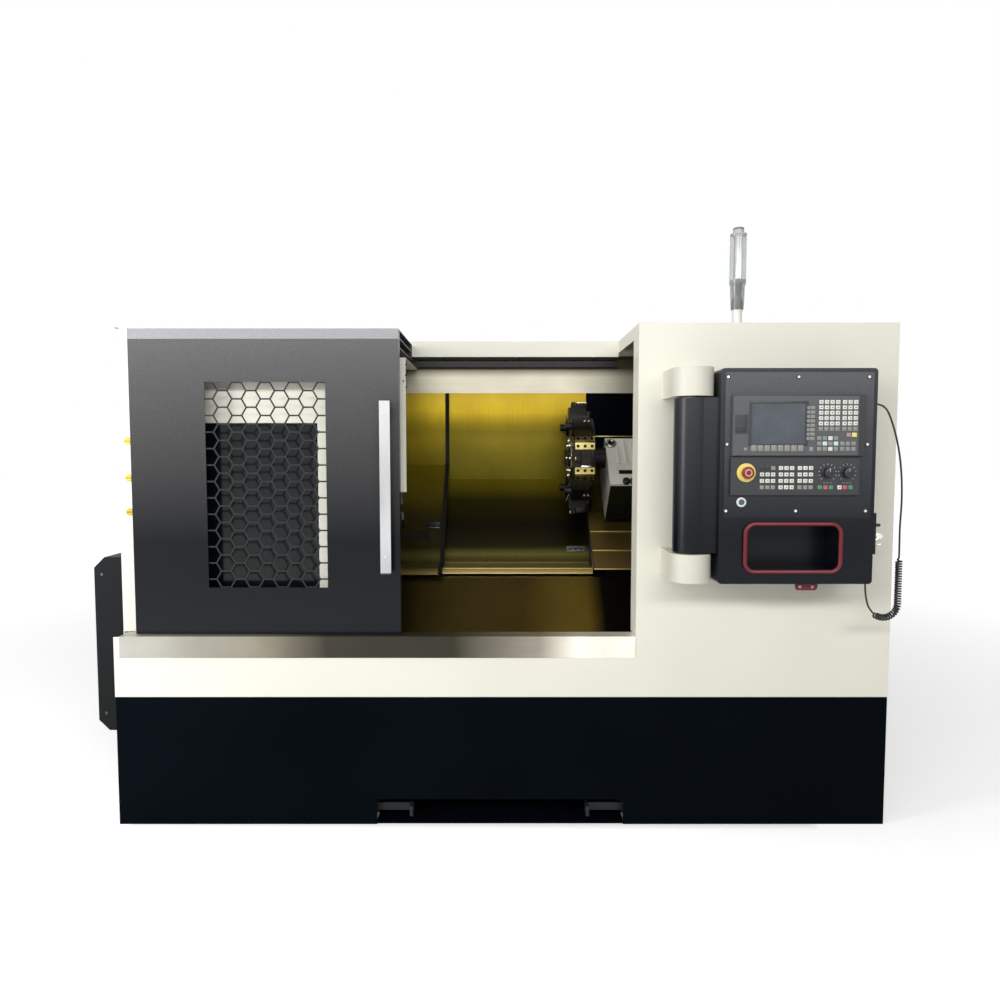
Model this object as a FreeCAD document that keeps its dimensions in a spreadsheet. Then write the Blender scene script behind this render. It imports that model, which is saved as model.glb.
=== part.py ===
import FreeCAD, Part
import Sketcher
import math
import os

# A slant-bed CNC turning lathe in its sheet-metal enclosure.
# X runs to the right along the spindle, Y runs from the front to the rear and Z is up.
# The origin lies on the floor under the middle of the machine's outer box.

V = FreeCAD.Vector

# Driving dimensions, in millimetres, degrees or counts.
SIZES = {
    # enclosure
    "body_length": 2690, "body_depth": 1600, "body_height": 1743, "sheet": 3,
    "skirt_height": 456, "skirt_inset": 2, "skirt_setback": 0, "skirt_flange": 30,
    "recess_width": 864, "recess_height": 90, "recess_offset": 5,
    "right_cover_width": 880, "notch_depth": 450, "notch_wall": 45, "fascia_height": 61,
    "jamb_depth": 105,
    "sill_top": 670, "sill_lip": 75, "sill_depth": 66, "sill_inset": 21,
    "post_width": 66, "post_setback": 75, "post_top_gap": 9,
    "inner_cover_setback": 100, "inner_cover_top": 1638, "inner_cover_overlap": 15,
    "inner_step_height": 1165, "inner_step_width": 30,
    "inner_opening_left": 235, "inner_opening_width": 460,
    "inner_opening_bottom": 780, "inner_opening_top": 1409, "pane_border": 20, "pane_thickness": 5,
    "lintel_setback": 30, "lintel_height": 140, "lintel_overlap": 130,
    "guard_reach": 210, "guard_setback": 285, "guard_depth": 800,
    "guard_bottom": 232, "guard_height": 674, "guard_chamfer": 40,
    "lamp_offset": 885, "lamp_setback": 300, "lamp_stem_radius": 19, "lamp_stem_height": 95,
    "lamp_base_radius": 26, "lamp_base_height": 108, "lamp_lens_radius": 31, "lamp_lens_height": 168,
    "lamp_cap_radius": 20, "lamp_cap_height": 26,
    # feet
    "foot_radius": 45, "foot_height": 22, "bolt_radius": 12, "foot_lift": 60, "foot_edge": 90,
    # door
    "door_width": 927, "door_setback": 30, "door_clearance": 2, "door_fold": 27,
    "door_top_gap": 15, "return_depth": 400, "return_height": 62, "return_pitch": 31,
    "window_left": 259, "window_width": 415, "window_bottom": 163, "window_height": 712,
    "hex_side": 32.8, "hex_web": 5.2, "hex_columns": 9, "hex_rows": 13, "guard_plate": 2,
    "handle_width": 36, "handle_length": 597, "handle_bottom": 216, "handle_inset": 26,
    "handle_reach": 45, "handle_bar": 14, "handle_post": 30,
    "rail_height": 23, "rail_gap": 0.3,
    # slant and spindle
    "slant": 45, "axis_setback": 515, "axis_height": 1060, "spindle_radius": 55, "bar_bore": 26,
    "bar_hole_radius": 45,
    "running_gap": 0.05, "seat_gap": 0.3, "spindle_tail": 30,
    "headstock_left": 195, "headstock_length": 587, "headstock_half": 190, "headstock_front": 150,
    "headstock_clear": 245, "headstock_relief": 60, "pedestal_length": 350,
    "nose_radius": 75, "nose_length": 18, "chuck_radius": 125, "chuck_length": 95,
    "jaw_width": 34, "jaw_height": 62, "jaw_reach": 46, "jaw_inner": 46, "jaw_key": 12, "jaw_gap": 0.2,
    "cylinder_radius": 80, "cylinder_length": 130,
    # bed, rails and saddle, measured square to the slant from the spindle axis
    "bed_drop": 335, "bed_low": 60, "bed_high": 480, "bed_left": 195, "bed_length": 2395,
    "bed_front": 450, "bed_rear": 1300, "bed_toe": 300, "bed_knee": 500, "bed_shoulder": 900,
    "bed_wall": 50, "bed_rib": 40,
    "rail_size": 35, "rail_low": 0, "rail_high": 330, "rail_inset": 12,
    "saddle_left": 385, "saddle_length": 335, "saddle_thickness": 74.5, "saddle_low": 120,
    "slide_length": 270, "slide_low": 170, "slide_thickness": 59, "slide_inset": 15,
    "housing_low": 100, "housing_width": 270, "housing_rise": 60, "housing_left": 451,
    "housing_length": 249, "turret_offset": 310, "turret_left": 303, "turret_length": 90,
    "turret_flats": 330, "turret_shaft_radius": 45, "turret_socket": 60, "turret_stations": 8,
    "holder_width": 70, "holder_height": 52, "holder_length": 74, "tool_size": 20, "tool_reach": 25,
    "tool_overhang": 36,
    "apron_drop": 200, "apron_top_length": 110, "apron_middle_length": 115,
    "apron_middle_low": 40, "apron_low": 136, "apron_bottom_length": 111, "apron_foot": 88,
    # way covers and chip chute
    "cover_drop": 260, "cover_back": 1000, "cover_lip": 721, "cover_ledge_drop": 241,
    "cover_ledge_front": 578, "cover_flange": 24, "cover_top": 1700, "cover_seam": 259,
    "cover_overlap": 31, "outer_drop": 205, "outer_back": 990, "outer_lip": 645,
    "outer_ledge_drop": 231, "outer_ledge_front": 520, "outer_flange": 29,
    "backdrop_right": 700, "backdrop_rise": 260,
    "chute_seat_drop": 360, "chute_riser": 560, "chute_top_drop": 274, "chute_flange": 20,
    "chute_wall": 250, "trough_floor": 333,
    # pendant
    "pivot_offset": 614, "pivot_reach": 133, "arm_radius": 67, "arm_height": 92,
    "upper_arm_bottom": 1485, "lower_arm_bottom": 888, "pin_radius": 20, "pin_length": 35,
    "column_radius": 57, "column_gap": 5,
    "pendant_left": 688, "pendant_width": 491, "pendant_bottom": 888, "pendant_height": 682,
    "pendant_gap": 70, "pendant_depth": 130, "pendant_radius": 12,
    "face_inset": 13, "face_bottom": 1100, "face_height": 457, "face_thickness": 3,
    "unit_thickness": 10, "display_left": 720, "display_width": 417, "display_bottom": 1295,
    "display_height": 191, "screen_left": 60, "screen_width": 170, "screen_bottom": 38,
    "screen_height": 127, "screen_recess": 3, "screen_thickness": 2,
    "control_left": 718, "control_width": 407, "control_bottom": 1172, "control_height": 118,
    "key_thickness": 1.5, "key_width": 13.4, "key_height": 12, "key_pitch": 17.4, "key_rise": 16.7,
    "letter_keys_left": 271, "number_keys_left": 344.5, "upper_keys_low": 79,
    "edit_keys_left": 359.5, "edit_keys_low": 60.5,
    "arrow_keys_left": 267.5, "page_keys_left": 340, "lower_keys_low": 16.5,
    "soft_keys_left": 61, "soft_keys_low": 15.5, "soft_key_width": 17.4, "soft_key_height": 19,
    "soft_key_pitch": 20.9,
    "side_keys_left": 233.5, "side_keys_low": 50, "side_key_width": 25.5, "side_key_height": 9.6,
    "side_key_rise": 13.7,
    "mode_keys_left": 92.5, "axis_keys_left": 151.5, "hand_keys_left": 211, "feed_keys_left": 275,
    "speed_keys_left": 336.5, "control_keys_low": 19, "control_key_rise": 20.2,
    "stop_offset": 49.5, "stop_rise": 71, "stop_head_radius": 19, "stop_head_height": 14,
    "stop_stem_radius": 12, "stop_stem_height": 14, "stop_engage": 5,
    "knob_offset": 305, "knob_pitch": 61, "knob_rise": 71, "knob_radius": 18, "knob_height": 19,
    "knob_shaft_radius": 4, "knob_engage": 8,
    "button_offset": 69, "button_rise": 49.5, "button_radius": 8.5, "button_height": 8,
    "button_engage": 1,
    "pocket_offset": 77, "pocket_width": 315, "pocket_bottom": 34, "pocket_height": 165,
    "pocket_depth": 100, "pocket_frame": 12, "pocket_rise": 14, "pocket_radius": 38,
    "block_width": 19, "block_depth": 90, "block_bottom": 92, "block_height": 133,
    "tab_offset": 257, "tab_width": 76, "tab_drop": 26, "tab_thickness": 4, "tab_back": 30,
    # cord
    "cord_radius": 3, "cord_reach": 135, "gland_radius": 7, "gland_length": 18,
    "gland_height": 1462, "curl_radius": 8.5, "curl_count": 31,
}

document = FreeCAD.newDocument("lathe")
sheet_page = document.addObject("Spreadsheet::Sheet", "Sizes")
for row, (alias, number) in enumerate(SIZES.items(), start=1):
    sheet_page.set(f"A{row}", alias)
    sheet_page.set(f"B{row}", str(number))
    sheet_page.setAlias(f"B{row}", alias)
document.recompute()


class Size:
    """A length that knows its number and how it is worked out from the sheet."""

    def __init__(self, text, value):
        self.text = text
        self.value = value

    def __add__(self, other):
        other = size(other)
        return Size(f"({self.text} + {other.text})", self.value + other.value)

    def __sub__(self, other):
        other = size(other)
        return Size(f"({self.text} - {other.text})", self.value - other.value)

    def __mul__(self, other):
        other = size(other)
        return Size(f"({self.text} * {other.text})", self.value * other.value)

    def __truediv__(self, other):
        other = size(other)
        return Size(f"({self.text} / {other.text})", self.value / other.value)

    def __radd__(self, other):
        return size(other) + self

    def __rsub__(self, other):
        return size(other) - self

    def __rmul__(self, other):
        return size(other) * self

    def __neg__(self):
        return Size(f"(0 - {self.text})", -self.value)


def size(thing):
    """A Size from a sheet name, a number or a Size."""
    if isinstance(thing, Size):
        return thing
    if isinstance(thing, str):
        return Size(f"Sizes.{thing}", float(sheet_page.get(thing)))
    return Size(f"({thing!r})", float(thing))


def sine(angle):
    """The sine of a Size in degrees."""
    return Size(f"sin({angle.text} * 1deg)", math.sin(math.radians(angle.value)))


def cosine(angle):
    """The cosine of a Size in degrees."""
    return Size(f"cos({angle.text} * 1deg)", math.cos(math.radians(angle.value)))


# ---------------------------------------------------------------- building blocks

NODES = []


def node(thing, label):
    """Give an object its label and keep it as one of the sub-parts."""
    thing.Label = label
    NODES.append(thing)
    return thing


def seat(thing, x, y, z):
    """Bind an object's place to the sheet."""
    for letter, value in zip("xyz", (x, y, z)):
        thing.setExpression(f"Placement.Base.{letter}", size(value).text)
    return thing


def block(x, y, z, name="Block"):
    """A box between pairs of planes."""
    box = document.addObject("Part::Box", name)
    for side, (low, high) in zip(("Length", "Width", "Height"), (x, y, z)):
        box.setExpression(side, (size(high) - low).text)
    return seat(box, x[0], y[0], z[0])


AXES = {"x": V(1, 0, 0), "y": V(0, 1, 0), "z": V(0, 0, 1)}


def rod(axis, start, radius, length, name="Rod"):
    """A cylinder that starts at a point and runs along an axis."""
    cylinder = document.addObject("Part::Cylinder", name)
    cylinder.setExpression("Radius", size(radius).text)
    cylinder.setExpression("Height", size(length).text)
    cylinder.Placement = FreeCAD.Placement(V(), FreeCAD.Rotation(V(0, 0, 1), AXES[axis]))
    return seat(cylinder, *start)


def union(pieces, name="Union"):
    """Pieces joined into one solid."""
    joined = document.addObject("Part::MultiFuse", name)
    joined.Shapes = pieces
    joined.Refine = True
    return joined


def group(pieces, name="Group"):
    """Like pieces that stay separate solids."""
    kept = document.addObject("Part::Compound", name)
    kept.Links = pieces
    return kept


def cut(base, tool, name="Cut"):
    """A piece with a tool's room taken out."""
    result = document.addObject("Part::Cut", name)
    result.Base = base
    result.Tool = tool
    result.Refine = True
    return result


PLANES = {"x": "YZ_Plane", "y": "XZ_Plane", "z": "XY_Plane"}


def draw(sketch, outline):
    """Draw a closed outline whose corners are bound to the sheet."""
    first = sketch.GeometryCount
    count = len(outline)
    corners = [(size(a), size(b)) for a, b in outline]
    for index in range(count):
        a, b = corners[index], corners[(index + 1) % count]
        sketch.addGeometry(Part.LineSegment(V(a[0].value, a[1].value, 0), V(b[0].value, b[1].value, 0)))
    for index in range(count):
        sketch.addConstraint(
            Sketcher.Constraint("Coincident", first + index, 2, first + (index + 1) % count, 1))
    for index, corner in enumerate(corners):
        for kind, value in zip(("DistanceX", "DistanceY"), corner):
            bound = sketch.addConstraint(
                Sketcher.Constraint(kind, -1, 1, first + index, 1, value.value))
            sketch.setExpression(f"Constraints[{bound}]", value.text)


def draw_circle(sketch, centre, radius):
    """Draw a circle bound to the sheet."""
    a, b, radius = size(centre[0]), size(centre[1]), size(radius)
    index = sketch.addGeometry(Part.Circle(V(a.value, b.value, 0), V(0, 0, 1), radius.value))
    for kind, value in (("DistanceX", a), ("DistanceY", b)):
        bound = sketch.addConstraint(Sketcher.Constraint(kind, -1, 1, index, 3, value.value))
        sketch.setExpression(f"Constraints[{bound}]", value.text)
    bound = sketch.addConstraint(Sketcher.Constraint("Radius", index, radius.value))
    sketch.setExpression(f"Constraints[{bound}]", radius.text)


def prism(axis, outline, start, end, holes=(), circles=(), rounding=None, name="Prism"):
    """A body padded from an outline square to an axis, with its holes and any rounded corners."""
    body = document.addObject("PartDesign::Body", name)
    sketch = body.newObject("Sketcher::SketchObject", name + "Outline")
    plane = [face for face in body.Origin.OriginFeatures if face.Role == PLANES[axis]][0]
    sketch.AttachmentSupport = [(plane, "")]
    sketch.MapMode = "FlatFace"
    draw(sketch, outline)
    for hole in holes:
        draw(sketch, hole)
    for centre, radius in circles:
        draw_circle(sketch, centre, radius)
    pad = body.newObject("PartDesign::Pad", name + "Pad")
    pad.Profile = sketch
    pad.setExpression("Length", (size(end) - start).text)
    place = {"x": size(start), "y": size(end), "z": size(start)}[axis]
    body.setExpression(f"Placement.Base.{axis}", place.text)
    sketch.Visibility = False
    if rounding is not None:
        document.recompute()
        along = AXES[axis]
        edges = [f"Edge{number}" for number, edge in enumerate(pad.Shape.Edges, start=1)
                 if abs(abs(edge.tangentAt(edge.FirstParameter).dot(along)) - 1) < 1e-6]
        fillet = body.newObject("PartDesign::Fillet", name + "Fillet")
        fillet.Base = (pad, edges)
        fillet.setExpression("Radius", size(rounding).text)
    return body


def rectangle(a, b):
    """The four corners between two pairs of lines."""
    return [(a[0], b[0]), (a[1], b[0]), (a[1], b[1]), (a[0], b[1])]


def folded(axis, path, thickness, start, end, side=1, name="Sheet"):
    """A folded sheet: a path and its own offset to one side, with mitred folds."""
    path = [(size(a), size(b)) for a, b in path]
    thickness = size(thickness)
    normals = []
    for (a0, b0), (a1, b1) in zip(path, path[1:]):
        run, rise = a1.value - a0.value, b1.value - b0.value
        length = math.hypot(run, rise)
        normals.append((-rise / length * side, run / length * side))
    offset = []
    for index, (a, b) in enumerate(path):
        before = normals[max(index - 1, 0)]
        after = normals[min(index, len(normals) - 1)]
        share = 1 + before[0] * after[0] + before[1] * after[1]
        offset.append((a + thickness * ((before[0] + after[0]) / share),
                       b + thickness * ((before[1] + after[1]) / share)))
    return prism(axis, path + offset[::-1], start, end, name=name)


def made(shape, name="Form"):
    """A form made from wires, kept as a plain feature."""
    feature = document.addObject("Part::Feature", name)
    feature.Shape = shape
    feature.Placement = FreeCAD.Placement()
    return feature


# ---------------------------------------------------------------- main planes

sheet = size("sheet")
half = size("body_length") / 2
middle = size("guard_reach") / 2
left = middle - half
right = middle + half
stop_front = size("pendant_gap") + "pendant_depth" + "face_thickness" + "unit_thickness" \
    + "stop_stem_height" + "stop_head_height"
front = (stop_front - "body_depth") / 2
rear = front + "body_depth"
top = size("body_height")
roof_under = top - sheet
cover_base = size("skirt_height")
right_cover_left = right - "right_cover_width"
sill_under = size("sill_top") - sheet
door_left = left + "post_width"
door_right = door_left + "door_width"
door_front = front + "door_setback"
door_bottom = size("sill_top") + "door_clearance"
door_top = top - "door_top_gap"
inside_left = left + sheet
inside_right = right - sheet
inside_rear = rear - sheet
notch = front + "notch_depth"
chute_crest = front + "chute_riser" - "chute_flange"


slant = size("slant")
axis_y = front + "axis_setback"
axis_z = size("axis_height")


def height_on_chute(y):
    """The height of the chip chute's slope, which falls at 45 degrees from its crest, at a Y."""
    return axis_z - "chute_top_drop" - (chute_crest - y)


def along_slant(up, out):
    """The Y and Z of a point up the slant and out from it, measured from the spindle axis."""
    up, out = size(up), size(out)
    return (axis_y + up * cosine(slant) - out * sine(slant),
            axis_z + up * sine(slant) + out * cosine(slant))


def height_on_slant(y, drop):
    """The height where a plane of the slant, a drop below the spindle axis, crosses a Y."""
    drop = size(drop)
    up = (size(y) - axis_y - drop * sine(slant)) / cosine(slant)
    return axis_z + up * sine(slant) - drop * cosine(slant)


def slanted_block(x, up, out, name="Slanted"):
    """A box turned with the slant, between pairs of planes."""
    box = document.addObject("Part::Box", name)
    for side, (low, high) in zip(("Length", "Width", "Height"), (x, up, out)):
        box.setExpression(side, (size(high) - low).text)
    box.Placement = FreeCAD.Placement(V(), FreeCAD.Rotation(V(1, 0, 0), slant.value))
    box.setExpression("Placement.Rotation.Angle", f"{slant.text} * 1deg")
    y, z = along_slant(up[0], out[0])
    return seat(box, x[0], y, z)


def turned_block(centre, turn, inner, outer, wide, start, end):
    """A box that reaches outwards from a centre line along X, turned about it."""
    box = document.addObject("Part::Box", "Turned")
    inner, outer, wide, angle = size(inner), size(outer), size(wide), size(turn)
    box.setExpression("Length", (size(end) - start).text)
    box.setExpression("Width", (wide * 2).text)
    box.setExpression("Height", (outer - inner).text)
    box.Placement = FreeCAD.Placement(V(), FreeCAD.Rotation(V(1, 0, 0), turn))
    return seat(box, start, centre[0] - wide * cosine(angle) - inner * sine(angle),
                centre[1] - wide * sine(angle) + inner * cosine(angle))


# ---------------------------------------------------------------- base and skirt

def make_skirt():
    """The dark sheets round the foot of the machine, each with a flange on top."""
    inset = size("skirt_inset")
    skirt_left, skirt_right = left + inset, right - inset
    skirt_front, skirt_rear = front + "skirt_setback", rear - "skirt_setback"
    height = size("skirt_height")
    flange = size("skirt_flange")
    recess_left = middle - size("recess_width") / 2 - "recess_offset"
    recess_right = recess_left + "recess_width"
    face = prism("y", [(skirt_left, 0), (recess_left, 0), (recess_left, "recess_height"),
                       (recess_right, "recess_height"), (recess_right, 0), (skirt_right, 0),
                       (skirt_right, height), (skirt_left, height)],
                 skirt_front, skirt_front + sheet, name="SkirtFace")
    shelf = block((skirt_left, skirt_right), (skirt_front + sheet, skirt_front + sheet + flange),
                  (height - sheet, height))
    node(union([face, shelf]), "skirt_front")
    for label, low, high in (("skirt_left", skirt_left, skirt_left + sheet),
                             ("skirt_right", skirt_right - sheet, skirt_right)):
        node(block((low, high), (skirt_front + sheet, skirt_rear - sheet), (0, height - sheet)), label)
    back = block((skirt_left, skirt_right), (skirt_rear - sheet, skirt_rear), (0, height))
    shelf = block((skirt_left, skirt_right), (skirt_rear - sheet - flange, skirt_rear - sheet),
                  (height - sheet, height))
    node(union([back, shelf]), "skirt_rear")


bed_left = left + "bed_left"
bed_right = bed_left + "bed_length"


def make_bed():
    """The slant bed, a casting cored by three tunnels along its length, on its levelling feet."""
    low = along_slant(-size("bed_low"), -size("bed_drop"))
    high = along_slant("bed_high", -size("bed_drop"))
    lift, wall, rib = size("foot_lift"), size("bed_wall"), size("bed_rib")
    fore, aft = front + "bed_front", front + "bed_rear"
    outline = [(fore, lift), (aft, lift), (aft, "bed_shoulder"), (high[0] + lift, high[1]), high, low,
               (low[0], "bed_knee"), (fore, "bed_toe")]
    wide = (aft - fore - wall * 2 - rib * 2) / 3
    floor = lift + wall
    cores = []
    for number in range(3):
        start = fore + wall + (wide + rib) * number
        cores.append([(start, floor), (start + wide, floor)])
    cores[0] += [(fore + wall + wide, size("bed_knee") - wall), (fore + wall, size("bed_toe") - wall / 2)]
    for core in cores[1:]:
        end, start = core[1][0], core[0][0]
        if core is cores[2]:
            core += [(end, "bed_shoulder"), (high[0], high[1] - wall)]
        else:
            core.append((end, height_on_slant(end, size("bed_drop") + wall)))
        core.append((start, height_on_slant(start, size("bed_drop") + wall)))
    node(prism("x", outline, bed_left, bed_right, holes=cores, name="Bed"), "bed")
    edge = size("foot_edge")
    feet = []
    for x in (bed_left + edge, (bed_left + bed_right) / 2, bed_right - edge):
        for y in (front + "bed_front" + edge, front + "bed_rear" - edge):
            pad = rod("z", (x, y, 0), "foot_radius", "foot_height")
            stem = rod("z", (x, y, "foot_height"), "bolt_radius", lift - "foot_height")
            feet.append(union([pad, stem]))
    node(group(feet), "levelling_feet")


# ---------------------------------------------------------------- enclosure

def make_front_cover():
    """The pale sheet that covers the right front and runs as a band under the door."""
    edge = right_cover_left
    face = prism("y", [(left, cover_base), (right, cover_base), (right, top), (edge, top),
                       (edge, sill_under), (left, sill_under)], front, front + sheet, name="FrontFace")
    foot = block((inside_left, inside_right),
                 (front + sheet, front + "skirt_setback" + sheet + "skirt_flange"),
                 (cover_base, cover_base + sheet))
    wall_low = top - "notch_wall"
    jamb_rear = front + "jamb_depth"
    jamb = prism("x", [(front + sheet, sill_under), (jamb_rear, sill_under), (jamb_rear, wall_low),
                       (notch, wall_low), (notch, roof_under), (front + sheet, roof_under)],
                 edge, edge + sheet, name="Jamb")
    node(union([face, foot, jamb]), "front_cover")


def make_sill():
    """The stainless sill that carries the foot of the door."""
    lip = [(front, sill_under - "sill_lip" + sheet), (front, sill_under), (front + "sill_depth", sill_under)]
    node(folded("x", lip, sheet, left + "sill_inset", right_cover_left - "door_clearance", name="Sill"),
         "door_sill")


def make_inner_cover():
    """The fixed pale cover behind the door, with its dark pane."""
    low = front + "inner_cover_setback"
    edge = door_right + "inner_cover_overlap"
    opening_left = left + "inner_opening_left"
    opening_right = opening_left + "inner_opening_width"
    step = edge - "inner_step_width"
    face = prism("y", [(inside_left, cover_base + sheet), (step, cover_base + sheet),
                       (step, "inner_step_height"), (edge, "inner_step_height"),
                       (edge, "inner_cover_top"), (inside_left, "inner_cover_top")],
                 low, low + sheet,
                 holes=[rectangle((opening_left, opening_right),
                                  ("inner_opening_bottom", "inner_opening_top"))], name="InnerFace")
    lid = block((inside_left, edge), (low + sheet, notch + "lintel_setback" + sheet),
                (size("inner_cover_top") - sheet, "inner_cover_top"))
    node(union([face, lid]), "left_cover")
    border = size("pane_border")
    node(block((opening_left - border, opening_right + border),
               (low + sheet, low + sheet + "pane_thickness"),
               (size("inner_opening_bottom") - border, size("inner_opening_top") + border)),
         "inner_window")


def make_side_panels():
    """The side and rear panels of the enclosure, the left one with its front post and bar hole."""
    post = front + "post_setback"
    wall = prism("x", rectangle((post, inside_rear), (cover_base, roof_under)), left, inside_left,
                 circles=[((axis_y, axis_z), "bar_hole_radius")], name="LeftWall")
    strip = block((inside_left, door_left - "door_clearance"), (post, post + sheet),
                  ("sill_top", top - "post_top_gap"))
    node(union([wall, strip]), "left_side_panel")
    node(block((inside_right, right), (front + sheet, inside_rear), (cover_base, roof_under)),
         "right_side_panel")
    node(block((left, right), (inside_rear, rear), (cover_base, roof_under)), "rear_panel")


def make_roof():
    """The roof sheet with its front notch and the fascia along the notch."""
    lid = prism("z", [(left, notch), (right_cover_left, notch), (right_cover_left, front + sheet),
                      (right, front + sheet), (right, rear), (left, rear)], roof_under, top, name="RoofSheet")
    fascia = block((inside_left, right_cover_left), (notch, notch + sheet),
                   (top - "fascia_height", roof_under))
    node(union([lid, fascia]), "roof")
    under = top - "fascia_height"
    path = [(notch + sheet, under), (notch + "lintel_setback" + sheet, under),
            (notch + "lintel_setback" + sheet, under - "lintel_height")]
    node(folded("x", path, sheet, inside_left, right_cover_left + "lintel_overlap", name="Lintel"), "lintel")
    rail_high = door_top - "return_height" - "rail_gap"
    node(block((inside_left, right_cover_left),
               (notch + sheet + sheet, notch + "lintel_setback" + sheet),
               (rail_high - "rail_height", rail_high)), "door_rail")


def make_end_guard():
    """The dark chamfered guard on the left end, open towards the machine."""
    chamfer = size("guard_chamfer")
    low = size("guard_bottom")
    high = low + "guard_height"
    outer = left - "guard_reach"
    near = front + "guard_setback"
    far = near + "guard_depth"

    def profile(inset):
        """The guard's outline drawn in by an inset."""
        shift = chamfer + size(inset) * (math.sqrt(2) - 1)
        return [(left, low + inset), (outer + shift, low + inset),
                (outer + inset, low + shift), (outer + inset, high - shift),
                (outer + shift, high - inset), (left, high - inset)]

    shell = prism("y", profile(size(0)), near, far, name="GuardOuter")
    room = prism("y", profile(sheet), near + sheet, far - sheet, name="GuardRoom")
    node(cut(shell, room), "end_guard")


def make_lamp():
    """The signal lamp on the roof: a stem and base under a clear lens with its cap."""
    x, y = middle + "lamp_offset", front + "lamp_setback"
    stem = rod("z", (x, y, top), "lamp_stem_radius", "lamp_stem_height")
    base_low = top + "lamp_stem_height"
    base = rod("z", (x, y, base_low), "lamp_base_radius", "lamp_base_height")
    node(union([stem, base]), "lamp_base")
    lens_low = base_low + "lamp_base_height"
    lens = rod("z", (x, y, lens_low), "lamp_lens_radius", "lamp_lens_height")
    cap = rod("z", (x, y, lens_low + "lamp_lens_height"), "lamp_cap_radius", "lamp_cap_height")
    node(union([lens, cap]), "lamp_lens")


# ---------------------------------------------------------------- door

def make_door():
    """The sliding door: a folded panel with a deep top return whose lowest shelf rides on the rail."""
    fold = door_front + sheet + "door_fold"
    window_left = door_left + "window_left"
    window_low = door_bottom + "window_bottom"
    back = door_front + sheet + "return_depth"
    shelf = door_top - "return_height"
    stiffener = shelf + "return_pitch"
    face = prism("y", rectangle((door_left, door_right), (door_bottom, door_top)),
                 door_front, door_front + sheet,
                 holes=[rectangle((window_left, window_left + "window_width"),
                                  (window_low, window_low + "window_height"))], name="DoorFace")
    span = (door_front + sheet, fold)
    edges = [block((door_left, door_left + sheet), span, (door_bottom, door_top)),
             block((door_right - sheet, door_right), span, (door_bottom, door_top)),
             block((door_left, door_right), span, (door_bottom, door_bottom + sheet)),
             block((door_left, door_right), (door_front + sheet, back), (door_top - sheet, door_top)),
             block((door_left, door_right), (back - sheet, back), (shelf, door_top)),
             block((door_left, door_right), (door_front + sheet, back), (stiffener, stiffener + sheet)),
             block((door_left, door_right), (door_front + sheet, notch + "lintel_setback" - "door_clearance"),
                   (shelf, shelf + sheet))]
    node(union([face] + edges), "door_panel")


def make_hex_guard():
    """The perforated sheet behind the door's window, holed with a honeycomb."""
    side = size("hex_side").value
    hole = side - size("hex_web").value / math.sqrt(3)
    columns, rows = int(size("hex_columns").value), int(size("hex_rows").value)
    centre_x = (door_left + "window_left" + size("window_width") / 2).value
    centre_z = (door_bottom + "window_bottom" + size("window_height") / 2).value
    pitch_x, pitch_z = 1.5 * side, math.sqrt(3) * side
    low_y = (door_front + sheet + "seat_gap").value
    half_x = (columns / 2 + 0.3) * pitch_x
    half_z = (rows / 2 + 0.7) * pitch_z
    outer = [V(centre_x + a * half_x, low_y, centre_z + b * half_z)
             for a, b in ((-1, -1), (1, -1), (1, 1), (-1, 1), (-1, -1))]
    wires = [Part.makePolygon(outer)]
    for column in range(columns):
        x = centre_x + (column - (columns - 1) / 2) * pitch_x
        shift = pitch_z / 2 * (column % 2)
        for number in range(rows):
            z = centre_z + (number - (rows - 1) / 2) * pitch_z + shift - pitch_z / 4
            ring = [V(x + hole * math.cos(math.radians(60 * turn)), low_y,
                      z + hole * math.sin(math.radians(60 * turn))) for turn in range(7)]
            wires.append(Part.makePolygon(ring))
    face = Part.makeFace(wires, "Part::FaceMakerBullseye")
    node(made(face.extrude(V(0, size("guard_plate").value, 0)), "HexGuard"), "hex_guard")


def make_handle():
    """The aluminium bar handle on its two posts."""
    handle_right = door_right - "handle_inset"
    handle_left = handle_right - "handle_width"
    low = door_bottom + "handle_bottom"
    high = low + "handle_length"
    bar_front = door_front - "handle_reach"
    bar_back = bar_front + "handle_bar"
    post = size("handle_post")
    bar = block((handle_left, handle_right), (bar_front, bar_back), (low, high))
    inset = size("handle_width") / 4
    posts = [block((handle_left + inset, handle_right - inset), (bar_back, door_front), span)
             for span in ((low + post, low + post * 2), (high - post * 2, high - post))]
    node(union([bar] + posts), "door_handle")


# ---------------------------------------------------------------- spindle

head_left = left + "headstock_left"
head_right = head_left + "headstock_length"
nose_left = head_right + "seat_gap"
chuck_left = nose_left + "nose_length"
chuck_right = chuck_left + "chuck_length"


def make_headstock():
    """The headstock casting on its pedestal, bored for the spindle."""
    wide = size("headstock_half")
    clear = -size("headstock_clear")
    fore = -size("headstock_front")
    relief = -size("headstock_relief")
    outline = [along_slant(u, v) for u, v in
               ((fore, wide), (fore, fore), (relief, clear), (wide, clear), (wide, wide))]
    casting = prism("x", outline, head_left, head_right, name="Headstock",
                    circles=[((axis_y, axis_z), size("spindle_radius") + "running_gap")])
    foot = slanted_block((head_left, head_left + "pedestal_length"), (relief, wide),
                         (-size("bed_drop"), clear))
    node(union([casting, foot]), "headstock")


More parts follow.
